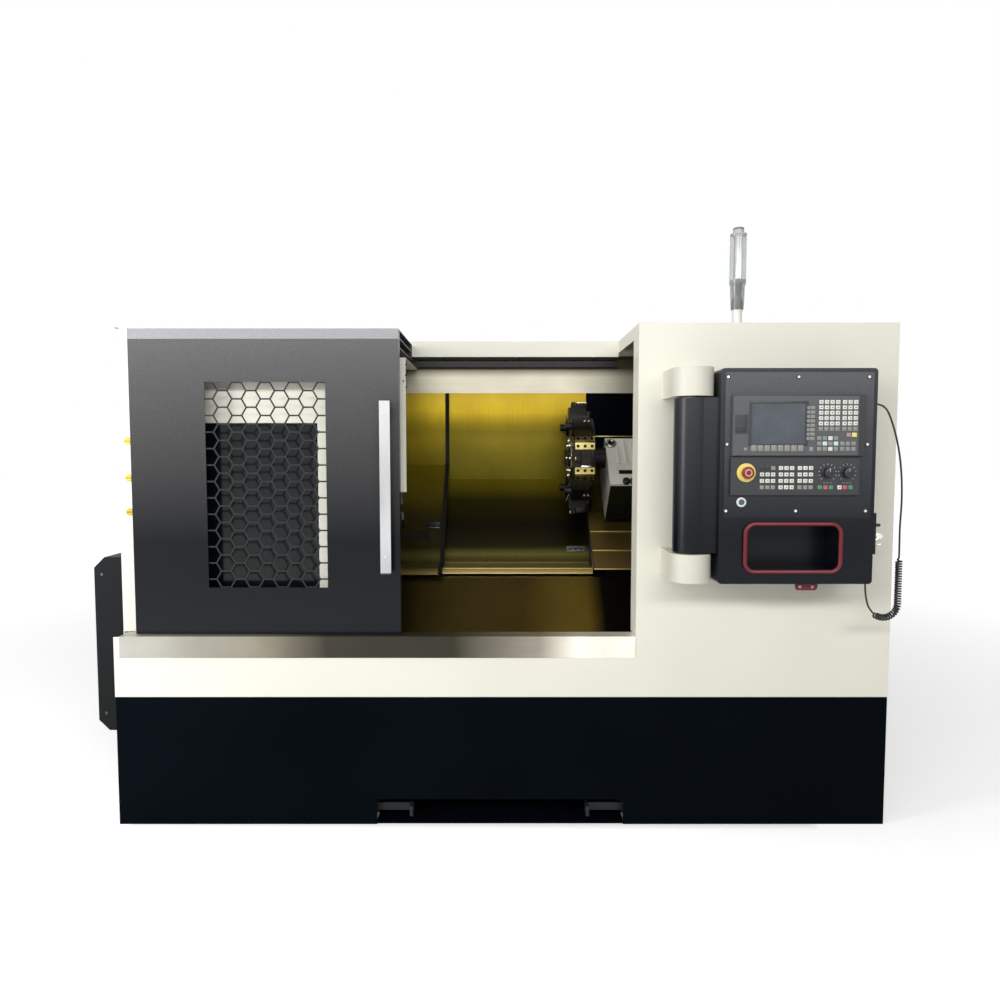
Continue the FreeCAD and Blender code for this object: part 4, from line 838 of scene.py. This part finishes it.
for field in [
        (271, 79, 4, 1, key_dim), (271, 95.7, 4, 5, key_white, True),
        (344.5, 79, 3, 1, key_dim), (344.5, 95.7, 3, 5, key_white, True),
        (359.5, 60.5, 1, 1, key_pink), (376, 60, 1, 1, key_yellow, False, CAP, (15, 13)),
        (267.5, 16.5, 2, 2, key_dim, False, (17.4, 33.4)),
        (302.3, 16.5, 1, 2, key_white, False, (17.4, 33.4)),
        (319.7, 16.5, 1, 2, key_dim, False, (17.4, 33.4)), (267.5, 33.2, 2, 1, key_dim, False, (34.8, 0)),
        (284.9, 33.2, 2, 1, key_teal, False, (34.8, 0)), (340, 16.5, 3, 2, key_dim),
        (61, 15.5, 8, 1, key_soft, False, (20.9, 0), (17.4, 19)),
        (233.5, 50, 1, 8, key_dim, False, (0, 13.7), (9.5, 9.6)),
        (244.5, 50, 1, 8, key_soft, False, (0, 13.7), (14.5, 9.6))]:
    key_field(display, *field)

# %% Keys of the control unit
for field in [
        (92.5, 19, 3, 1, key_dim, False, WIDE), (92.5, 39.2, 3, 2, key_white, True, WIDE),
        (92.5, 79.6, 2, 1, lip_black, False, WIDE), (127.3, 79.6, 1, 1, key_dim),
        (151.5, 19, 3, 4, key_white, True, WIDE), (211, 19, 3, 1, key_dim, False, WIDE),
        (211, 39.2, 3, 3, key_white, True, WIDE), (275, 19, 2, 1, key_green, False, (34.8, 0)),
        (292.4, 19, 1, 1, key_red), (336.5, 19, 1, 1, key_white, True), (353.9, 19, 1, 1, key_red),
        (371.3, 19, 1, 1, key_green)]:
    key_field(control, *field)
keys.place("panel_key_caps", "pendant", "key_grey", "panel_keys")

# %% [markdown]
# ## The pendant's face
# The display unit has a moulded bezel round its screen, a rubber flap over its memory port and a
# dark end cap. Eight screws with plastic washers hold the face plate, so the washers show as dark
# rings round the bright heads.

# %% Bezel, flap and end cap
trim = Form()
trim.plate([rounded_place(screen, 5, 8, 7), rounded_place(screen, 2.5)], display.front, 1.4, unit_black)
trim.plate([rounded(835, 874, 1365, 1426, 4)], display.front, 1.2, unit_black)
trim.plate([rounded(841, 868, 1371, 1389, 3)], display.front - 1.2, 0.8, lip_black, edge=0.3)
trim.plate([rounded(1222, 1242, display.low, display.high, 1.5)], display.front, 1, lip_black, edge=0.4)
trim.turned(plug(5.4, 4.6, 1.2, 1.8), "-y", key_dim, at=(868.8, display.front, 1317))
trim.box((1068, display.front - 1.5, 1310.5), (1081, display.front, 1323.5), key_dim)
for unit in (display, control):
    trim.plate([rounded_place(unit, 2), rounded_place(unit, 2, -3, -3)], unit.front, 0.6, lip_black, edge=0.2)
trim.place("pendant_trim", "pendant", "panel_black")

# %% Face screws
screws = Form()
for x, columns, rows, step in ((812.8, 2, 3, 210), (1033.4, 1, 2, 420)):
    repeats = (columns, rows, (441.2, 0, 0), (0, 0, step))
    washer = Form().turned([(3, 0), (7.2, 0), (7.2, 0.7), (6.8, 1), (3, 1), (3, 0)], "-y", sides=24,
                           at=(x, face.front, 1122))
    in_rows(screws, washer, lip_black, *repeats)
    in_rows(screws, socket_screw(4.6, 3, (x, face.front - 0.6, 1122), "-y"), bright_screw, *repeats)
screws.place("pendant_screws", "pendant", "zinc_steel")

# %% [markdown]
# ## Emergency stop, override knobs and start button
# An emergency stop is a red mushroom on a yellow collar: it locks when it is pushed and releases
# with a turn. The override knobs are fluted so that a wet hand can turn them, each inside a dial
# of ticks. The start button has a white bezel. All are round, so a lathe profile makes each.

# %% Emergency stop
stop = Place("emergency_stop")
stop_place = (stop.x, control.front, stop.z)
collar = Form(stop_place)
collar.turned([(12.2, 0), (29.5, 0), (29.5, 2.2), (28.6, 3.4), (16, 5.2), (12.2, 5.2), (12.2, 0)], "-y",
              stop_yellow, 48)
collar.place("stop_collar", "pendant", "stop_red")
mushroom = Form(stop_place)
mushroom.turned([(0, -5), (12, -5), (12, 13), (13, 14), (17.6, 14.4), (19, 16.4), (19, 21), (18, 24.6),
                 (15, 26.6), (12.6, 26.9), (12, 26.2), (0, 26.6)], "-y", stop_red, 48)
mushroom.turned([(7.6, 26.2), (11.6, 26.2), (11.2, 27), (8, 27), (7.6, 26.2)], "-y", stop_pale, 40)
mushroom.place("stop_mushroom", "emergency_stop", "stop_red", "emergency_stop")

# %% Override knobs and their dials
dials = Form()
first_tick = math.radians(-135)
for node, x in (("feed_knob", 1128), ("speed_knob", 1189)):
    middle = (x, control.front, 1243)
    knob = Form(middle)
    knob.turned([(0, -8), (3.9, -8), (3.9, 0.4), (17.9, 0.4), (17.9, 2.6), (16.6, 3.6)], "-y", knob_black, 72)
    knob.turned([(16.8, 3.4), (16.4, 15), (15.2, 18.2), (13, 19.2), (0, 19.2)], "-y", knob_black, 96,
                flutes=16, flute_depth=0.09)
    knob.box((-0.9, -19.3, 4), (0.9, -18.4, 14.4), mark_white, 0.1)
    knob.place(node + "_dressed", node, "knob_black", node)
    tick = Form(middle).box((-0.7, -0.35, 24.5), (0.7, 0.1, 29), edge=0.1)
    start = Matrix.Translation(tick.at) @ Matrix.Rotation(first_tick, 4, "Y") @ Matrix.Translation(-tick.at)
    in_ring(dials, tick, mark_white, 11, "y", 27, start)
    bar = Form(middle).box((-14, -0.35, -33), (-7, 0.1, -31.4), edge=0.1)
    in_rows(dials, bar, key_dim, 3, 1, (10.5, 0, 0))

# %% Start button
button_place = (862, face.front, 1149.5)
dials.turned([(8.9, 0), (15.5, 0), (15.5, 2), (14.4, 3.8), (10.4, 4.4), (8.9, 3), (8.9, 0)], "-y",
             button_white, 40, button_place)
dials.place("control_dials", "pendant", "panel_black")
cap = Form(button_place)
cap.turned([(0, -1), (8.4, -1), (8.4, 5.6), (7.6, 7), (5.4, 7.4), (0, 7)], "-y", button_blue, 40)
cap.place("start_cap", "start_button", "button_blue_grey", "start_button")

# %% [markdown]
# ## Round the pendant's edge
# The pocket's opening is framed by a bent red tube, so that nobody catches a hand on the sheet.
# A red tab with two holes hangs under it for a padlock. A black block on the side holds a
# selector and a key switch, and tapered glands grip the cord where it enters.

# %% Pocket frame and lock tab
pocket = Form()
pocket.tube([(x, pendant.front - 6.8, z) for x, z in rounded(876.4, 1178.6, 928.4, 1080.6, 31, 8)], 6.5,
            red_enamel, closed=True)
pocket.place("pocket_tube", "pendant", "red_enamel", "pocket_frame")
tab = Place("lock_tab")
lock = Form()
lock.plate([[(tab.left, tab.high), (tab.left + 3, tab.low + 6), (tab.left + 9, tab.low),
             (tab.right - 9, tab.low), (tab.right - 3, tab.low + 6), (tab.right, tab.high)],
            circle(tab.x - 20, tab.low + 11, 5), circle(tab.x + 20, tab.low + 11, 5)],
           tab.rear, 4, red_enamel)
lock.place("lock_plate", "pendant", "red_enamel", "lock_tab")

# %% Side block and glands
side = Place("side_block")
level = side.front + 14
block = Form()
block.box((side.left, side.front + 12, 1114), (side.left + 11, side.front + 40, 1140), black_oxide, 2)
block.turned([(9, -0.5), (9, 3), (5.6, 4), (5.2, 17), (4.4, 19), (0, 19)], "x", knob_black,
             at=(side.right, level, 1073))
key_switch = [(9, -0.5), (9, 5), (7, 7), (0, 7)]
block.turned(key_switch, "x", zinc_steel, at=(side.right, level, 1038))
block.box((side.right + 6, level - 1.4, 1031), (side.right + 28, level + 1.4, 1045), bright_screw, 1)
block.turned(key_switch, "x", zinc_steel, at=(side.right, level, 1012))
block.tube([(x, level, z) for x, z in circle(side.right + 15, 1019, 10)], 1.3, bright_screw, closed=True)
block.place("side_controls", "pendant", "black_oxide")
glands = Form()
for end, way in ((gland_end - mm(18, 0, 0), "x"), (lower_exit + mm(0, 0, 18), "-z")):
    glands.turned([(7, 0), (7, 6), (6, 7), (6, 9), (5.6, 9.6), (4.3, 16.6), (3.6, 18), (0, 18)], way,
                  seal_rubber, 24, 1000 * end)
glands.place("tapered_glands", "pendant", "black_oxide", "cord_glands")

# %% [markdown]
# ## Signal lamp
# The lamp is a clear, ribbed acrylic tube round a white core with four dark edges, where its lights
# sit. It stands on a smoky tapered socket with a grey cone in it and a white stem, and has a dark
# ring on its cap. The ribs bend the light, so the lens reads white from far away.

# %% The lamp
base = Place("lamp_base")
foot = (base.x, base.y, base.low)
lamp = Form(foot)
lamp.turned([(0, 0), (25.5, 0), (25.5, 3), (21, 5), (19, 8), (18.4, 88), (20, 95), (0, 95)], "z",
            lamp_white, 48)
lamp.turned([(0, 95), (21, 95), (23, 97), (25.6, 140), (26, 180), (30, 190), (30.6, 203), (0, 203)], "z",
            lamp_smoke, 48)
lamp.turned([(0, 97), (19, 97), (19.6, 104), (9, 150), (12.5, 196), (0, 196)], "z", lamp_grey, 40)
lamp.turned([(0, 204), (12.5, 204), (12.5, 366), (0, 366)], "z", lamp_white, 32)
in_ring(lamp, Form(foot).box((12, -1.5, 206), (15.5, 1.5, 364), edge=0.4), lamp_edge, 4, "z")
ribs = [(31 if step % 2 else 30.2, 204 + 4 * step) for step in range(42)]
lamp.turned([(28.4, 203)] + ribs + [(28.4, 370), (28.4, 203)], "z", lamp_clear, 64)
lamp.turned([(0, 370), (30.6, 370), (31, 372), (30.6, 374), (20.5, 377), (20, 389), (0, 389)], "z",
            lamp_cap, 48)
lamp.turned([(0, 389), (20.4, 389), (20.4, 394), (18, 396.6), (0, 396.6)], "z", lamp_grey, 48)
lamp.place("signal_lamp", "frame", "lamp_clear", "lamp_lens", "lamp_base")

# %% [markdown]
# ## Door and post
# The folded top of the door is drawn as a strip in a lighter grey: a painted highlight on the fold.
# Plastic caps close the handle's ends. Brass slotted screws hold the lock strip on the left post,
# small clips hold the fascia, and a black rubber brush strip closes the gap under it, its dark also
# painting the shade under the fascia.

# %% Hem and handle caps
handle = Place("door_handle")
hem = Form()
# The lighter grey of this strip paints the highlight on the door's folded top.
hem.plate([rounded(door.left, door.right, 1693, door.high, 1)], door.front, 0.9, hem_painted_highlight_coat, edge=0.3)
for low, high in ((handle.low - 1.5, handle.low + 5), (handle.high - 5, handle.high + 1.5)):
    hem.box((handle.left - 0.6, handle.front - 0.6, low), (handle.right + 0.6, handle.front + 14.6, high),
            knob_black, 1.5)
hem.plate([rounded(handle.front + 1.5, handle.front + 12.5, handle.low + 6, handle.high - 6, 1)],
          handle.right, 0.8, knob_black, "right", 0.3)
for z in (951, 1437):
    in_rows(hem, socket_screw(4.2, 3, (handle.x, handle.front, z), "-y"), bright_screw)
hem.place("door_trim", "door", "charcoal_powder")

# %% Lock screws, clips and brush strip
locks = Form()
for z in (1345, 1216, 1096):
    locks.turned(plug(12.5, 11, 1.4, 2.6, 0.5), "-y", brass, at=(-1204.6, -604.5, z))
    locks.box((-1215.2, -607.4, z - 1.3), (-1194, -606.7, z + 1.3), seal_rubber, 0.2)
in_rows(locks, Form().box((-132, -229, 1672), (-118, -226.8, 1684)), seal_rubber, 3, 1, (297, 0, 0))
for x, z in ((-231, 1614), (-231, 1577), (-240, 1556), (-229.6, 1535)):
    locks.turned(plug(3, 2.4, 0.8, 1.4, 0.4), "-y", seal_rubber, 20, (x, -579.5, z))
# A black rubber brush strip closes the gap under the fascia; its dark also paints the shade there.
locks.box((-1236, -226.3, 1670.5), (570, -220, 1679), seal_rubber)
locks.place("frame_fasteners", "frame", "handle_aluminium")

# %% [markdown]
# ## Way covers
# Way covers shield the bed from chips. A rubber wiper with a steel lip closes the seam between the
# fixed cover and the sliding one. Small brackets and slots hold the covers in place.

# %% Wiper and brackets
axis_y, axis_z = -164.5, 1060
cover_drop = 205


def slope_height(y):
    """The height of the way covers' slope at a Y: they lie below the spindle axis at 45 degrees."""
    return axis_z + (y - axis_y) - cover_drop * math.sqrt(2)


seam = -154
fixed_path = [(310.5, 1690), (310.5, slope_height(310.5)), (-34.5, slope_height(-34.5)), (-34.5, 829),
              (-159.5, 829), (-159.5, 803)]
wiper = Form()
wiper.ribbon(fixed_path, seam - 2, seam + 16, (-4, 4), seal_rubber)
wiper.ribbon(fixed_path, seam - 6, seam - 2, (-4, 4), golden_fixed)
wiper.box((-216, 36, 975), (-162, 58, 1000), black_oxide, 2)
wiper.box((-214, 34, 973), (-164, 40, 978), machined_iron, 1)
wiper.ribbon([(30, slope_height(30)), (-8, slope_height(-8))], -306, -206, (-0.8, 0.8), seal_rubber)
wiper.place("way_wiper", "frame", "way_cover_steel")

brackets = Form()
brackets.plate([rounded(392, 474, 868, 893, 3)] + [circle(x, 880, 5) for x in (408, 433, 458)], 41.5, 3,
               machined_iron)
# The thin golden strips along the ledges' fronts and under the dark panel are painted highlights.
brackets.ribbon([(-101.5, 795.4), (-101.5, 798.4)], -185, 489, (-1.2, 0.3), painted_highlight_edge)
brackets.ribbon([(-101.5, 816), (-101.5, 818.6)], -150, 489, (-1, 0.6), painted_highlight_edge)
brackets.box((503, 318.4, 1322), (804, 320.7, 1698), navy_coat)
brackets.box((520, 316.6, 1375.6), (804, 318.6, 1380), painted_highlight_edge, 0.5)
brackets.place("way_cover_trim", "carriage", "way_cover_steel")

# %% [markdown]
# ## Turret
# The turret disc carries eight stations. Each has a ground pad with a clamping wedge and screws,
# and a coolant nozzle that points at the tool's tip. Every second one has a clamp block.
# One station is made, and the ring tree turns it round the disc.

# %% Turret stations
hub = (Place("turret_disc").left, 54.7, 1279.2)
station = Form(hub)


def on_disc(unit, finish, count=8):
    """Add a unit round the turret's axis."""
    in_ring(station, unit, finish, count, "x")


station.turned([(58, -1), (92, -1), (92, 5), (90, 7), (60, 7), (58, 5), (58, -1)], "-x", ground_steel, 64)
station.turned(plug(40, 36, 8, 12), "-x", black_oxide, 48)
on_disc(socket_screw(6, 6, (-7, 0, 75), "-x", hub), bright_screw)
for x in (44, 60):
    on_disc(socket_screw(5, 3, (x, 0, 217), "z", hub), bright_screw)
for y in (-66, 36.5):
    on_disc(Form(hub).box((4, y, 163), (86, y + 29.5, 167), edge=1), gilt_steel)
for y in (-51, 51):
    for x in (16, 45, 74):
        on_disc(socket_screw(6.5, 3, (x, y, 166.6), "z", hub), black_oxide)
on_disc(Form(hub).box((66, -35.6, 168), (82, 35.6, 200), edge=3), turret_black)
on_disc(Form(hub).tube([(4, 22, 150), (-6, 22, 156), (-12, 22, 164), (-20, 20, 186)], 2.2), machined_iron)

# %% Clamp blocks
on_disc(Form(hub).box((22, -34, 215), (64, 34, 238), edge=2.5), turret_black, 4)
on_disc(Form(hub).box((22, -34.6, 236), (64, -29, 239), edge=1), bright_screw, 4)
on_disc(Form(hub).box((-3, -6, 232), (3, 6, 241.6), edge=1), brass, 4)
station.place("turret_stations", "turret", "black_oxide")

# %% [markdown]
# ## Turret housing and apron
# The housing is an enamelled casting with machined ribs, an oil filler and a cable slot. Its
# parts are laid out square to the slant and then turned by 45 degrees, as the casting is.

# %% Housing dressing
slanted = Matrix.Translation(mm(0, axis_y, axis_z)) @ Matrix.Rotation(math.radians(45), 4, "X")
filler = (580, 336, 60)
casing = Form()
in_rows(casing, Form().box((596, 216, 59), (610, 352, 65), edge=2), housing_enamel, 6, 1, (32, 0, 0))
casing.turned([(12, -1), (24, -1), (24, 7), (21, 10), (15, 10), (12, 7), (12, -1)], "z",
              ground_steel, 40, filler)
casing.turned([(0, -1), (12, -1), (12, 3), (0, 3)], "z", black_oxide, 32, filler)
casing.box((598, 158, 58), (792, 180, 61.5), seal_rubber, 1)
for x in (622, 652):
    casing.turned(plug(15, 12, 12, 16), "z", knob_black, 32, (x, 112, 60))
casing.box((556.5, 96, -62), (804.5, 101, 50), green_enamel, 2)
casing.box((556.5, 97, -164), (804.5, 101, -62), seal_rubber, 2)
# The golden strip along the housing's lower edge is a painted highlight.
casing.box((490, 55.4, -203), (825, 60.6, -196), painted_highlight_edge, 1)
casing.place("housing_dressing", "cross", "housing_grey", matrix=slanted)
# A golden strip on the top edge of each apron plate is a painted highlight.
for name, body, low, top in (("apron_middle_painted_highlight", "apron", -40, -201),
                             ("apron_lower_painted_highlight", "carriage", -136, -204.5)):
    strip = Form().box((494, low - 4, top - 8), (821, low + 0.4, top), painted_highlight_edge, 1)
    strip.place(name, body, "way_cover_steel", matrix=slanted)

# %% [markdown]
# ## Chuck
# The chuck's face carries two rings of three socket screws between its jaws.

# %% Chuck face
nose = (Place("chuck").right, axis_y, axis_z)
chuck_face = Form(nose)
in_ring(chuck_face, socket_screw(7, 4, (0, 0, -98), "x", nose), black_oxide, 3, "x")
in_ring(chuck_face, socket_screw(4, 3, (0, 30, 38), "x", nose), black_oxide, 3, "x")
chuck_face.place("chuck_face", "spindle", "chuck_steel")

# %% [markdown]
# ## Enclosure skins
# The right side and the rear are closed by a base sheet with service doors on it. Each door has a
# gap round it, a recessed latch and, where cabinets need air, pressed louvres. They replace flat
# CAD sheets of the same thickness. The roof is joined by flat cover strips with screws.

# %% Service doors
door_low, door_high = 500, 1700
latch_inset = 34
vent_rise, vent_height, vent_reach = 90, 176, 130
blade_reach, blade_low, blade_high, blade_step = 120, 8, 19, 20.5


def service_doors(name, node, side, base, spans):
    """A base sheet with doors, louvres and latches, as thick as the flat sheet that it replaces."""
    flat = Place(node)
    form = Form()
    start, end = (flat.front, flat.rear) if side == "right" else (flat.left, flat.right)
    form.plate([rectangle(start, end, flat.low, flat.high)], base, 1, off_white_coat, side, 0.2)
    raised = base + 1
    for left, right, vents in spans:
        middle, vent_low = (left + right) / 2, door_low + vent_rise
        latch, latch_height = right - latch_inset, (door_low + door_high) / 2
        outlines = [rounded(left, right, door_low, door_high, 6)]
        if vents:
            outlines.append(rounded(middle - vent_reach, middle + vent_reach, vent_low,
                                    vent_low + vent_height, 4))
        outlines.append(circle(latch, latch_height, 15))
        form.plate(outlines, raised, 1.9, off_white_coat, side, 0.4)
        spot = (raised, latch, latch_height) if side == "right" else (latch, raised, latch_height)
        form.turned(plug(13, 11, 1.1, 1.7, 0.2), SIDES[side][0], black_oxide, at=spot)
        if vents:
            blade = rectangle(middle - blade_reach, middle + blade_reach, vent_low + blade_low,
                              vent_low + blade_high)
            hood = Form().plate([blade], raised, 1.7, None, side, 0.8)
            in_rows(form, hood, off_white_coat, 1, 8, row_step=(0, 0, blade_step))
    form.place(name, "frame", "off_white_paint", node)


service_doors("right_service_doors", "right_side_panel", "right", 1447,
              ((-640, -120, False), (-112, 400, True), (408, 896, True)))
service_doors("rear_service_doors", "rear_panel", "rear", 917.5,
              ((-1200, -560, True), (-552, 100, False), (108, 760, False), (768, 1410, True)))

# %% Roof strips and side screws
roof = Form()
for x in (-520, 560):
    roof.box((x - 20, -222, 1742.6), (x + 20, 912, 1745.4), off_white_coat)
    for edge in (-13, 13):
        in_rows(roof, socket_screw(5, 2.4, (x + edge, -190, 1745.3), "z"), zinc_steel, 1, 10,
                row_step=(0, 120, 0))
roof.box((-1232, 300, 1742.6), (1442, 340, 1745.2), off_white_coat)
in_rows(roof, socket_screw(5, 2.4, (-1180, 320, 1745), "z"), zinc_steel, 18, 1, (150, 0, 0))
for y, z, rows in ((-560, 940, 6), (880, 480, 9)):
    in_rows(roof, socket_screw(5, 2.4, (-1240, y, z), "-x"), zinc_steel, 1, rows, row_step=(0, 0, 140))
roof.plate([rounded(-540, -60, 1130, 1690, 6)], -1240, 1.6, off_white_coat, "left")
roof.turned(plug(13, 11, 3, 4, 0), "-x", black_oxide, at=(-1241.4, -90, 1345))
roof.place("roof_strips", "frame", "off_white_paint")

guard = Form()
in_rows(guard, socket_screw(6, 3, (-1420, -394.5, 300), "-y"), machined_iron, 2, 2, (150, 0, 0), (0, 0, 540))
guard.place("guard_screws", "frame", "charcoal_powder")

# %% Fork brackets, and a sheet of painted shade in the base
forks = Form()
for left, right in ((-352, -206), (402, 550)):
    forks.box((left, -636, 29), (right, -624, 58), guard_web_coat, 2)
    for x in (left, right - 12):
        forks.box((x, -676.3, 26), (x + 12, -624, 62), guard_web_coat, 2)
# A dark navy sheet on the floor inside the fork recess paints the shade there.
forks.box((-336, -675.5, 0.4), (536, -480, 3.4), navy_coat, 1)
forks.place("fork_brackets_and_shade_sheet", "frame", "navy_black_paint")

# %% [markdown]
# ## Floor and light
# A plain studio: a white floor that is dark only under the machine, catches its shadow and runs
# into the white surround further off. A wide strip light hangs high in front, with soft lights
# above and on the left. The machine's own work lamp behind the lintel shines on the covers' tops.

# %% The floor


def looked_at(tree):
    """1 where a surface is seen, directly, in a reflection or through a lens; 0 for light that falls."""
    ray = add(tree, "ShaderNodeLightPath").outputs
    seen = calculate(tree, "MAXIMUM", ray["Is Camera Ray"], ray["Is Glossy Ray"])
    return calculate(tree, "MAXIMUM", seen, ray["Is Transmission Ray"])


reach = 30
under_machine = (1.2, 0.7, 9)
floor_mesh = bpy.data.meshes.new("floor")
floor_mesh.from_pydata([(x, y, 0) for x, y in rectangle(-reach, reach, -reach, reach)], [], [(0, 1, 2, 3)])
floor = bpy.data.objects.new("floor", floor_mesh)
floor.location = (0, 0, mm(-0.5))
scene.collection.objects.link(floor)
floor_finish = bpy.data.materials.new("white_floor")
tree = empty_tree(floor_finish)
matte = add(tree, "ShaderNodeBsdfDiffuse", {"Color": linear("#F2F2F2")})
place = object_place(tree)
distance = add(tree, "ShaderNodeVectorMath", {0: place}, operation="LENGTH").outputs["Value"]
away = add(tree, "ShaderNodeVectorMath", {0: place}, operation="ABSOLUTE")
away = add(tree, "ShaderNodeVectorMath", {0: away, 1: under_machine}, operation="SUBTRACT")
away = add(tree, "ShaderNodeSeparateXYZ", {"Vector": away}).outputs
away = calculate(tree, "MAXIMUM", away["X"], away["Y"])
whiter = calculate(tree, "ADD", spread(tree, away, 0, 0.5, -0.06, 0.02),
                   spread(tree, distance, 0, 0.45, 1.8, 6))
glow = add(tree, "ShaderNodeEmission", {"Strength": calculate(tree, "MULTIPLY", looked_at(tree), whiter)})
both = add(tree, "ShaderNodeAddShader", {0: matte, 1: glow})
add(tree, "ShaderNodeOutputMaterial", {"Surface": both})
floor_mesh.materials.append(floor_finish)

# %% The surround
fill_level = 0.13
scene.world = bpy.data.worlds.new("studio")
tree = empty_tree(scene.world)
level = add(tree, "ShaderNodeMapRange", {"To Min": fill_level, "To Max": 1, "Value": looked_at(tree)})
sky = add(tree, "ShaderNodeBackground", {"Color": (1, 1, 1, 1), "Strength": level})
add(tree, "ShaderNodeOutputWorld", {"Surface": sky})

# %% Lamps


def softbox(name, place, aim, wide, high, watts):
    """A rectangular soft light that faces a point."""
    data = bpy.data.lights.new(name, "AREA")
    data.shape = "RECTANGLE"
    data.size, data.size_y = wide, high
    data.energy = watts
    lamp = bpy.data.objects.new(name, data)
    lamp.location = place
    lamp.rotation_euler = (Vector(aim) - Vector(place)).to_track_quat("-Z", "Y").to_euler()
    scene.collection.objects.link(lamp)


softbox("front_strip", (0, -4.6, 2.85), (0, -0.6, 1.2), 6.8, 0.6, 150)
softbox("top_softbox", (0, -1.2, 4.2), (0, -0.4, 1.0), 4.0, 2.0, 18)
softbox("left_softbox", (-3.4, -2.6, 1.7), (0.6, -0.5, 1.2), 1.0, 1.6, 85)
softbox("work_lamp", (0.15, -0.10, 1.60), (0.1, 0.32, 1.46), 0.9, 0.12, 1.2)
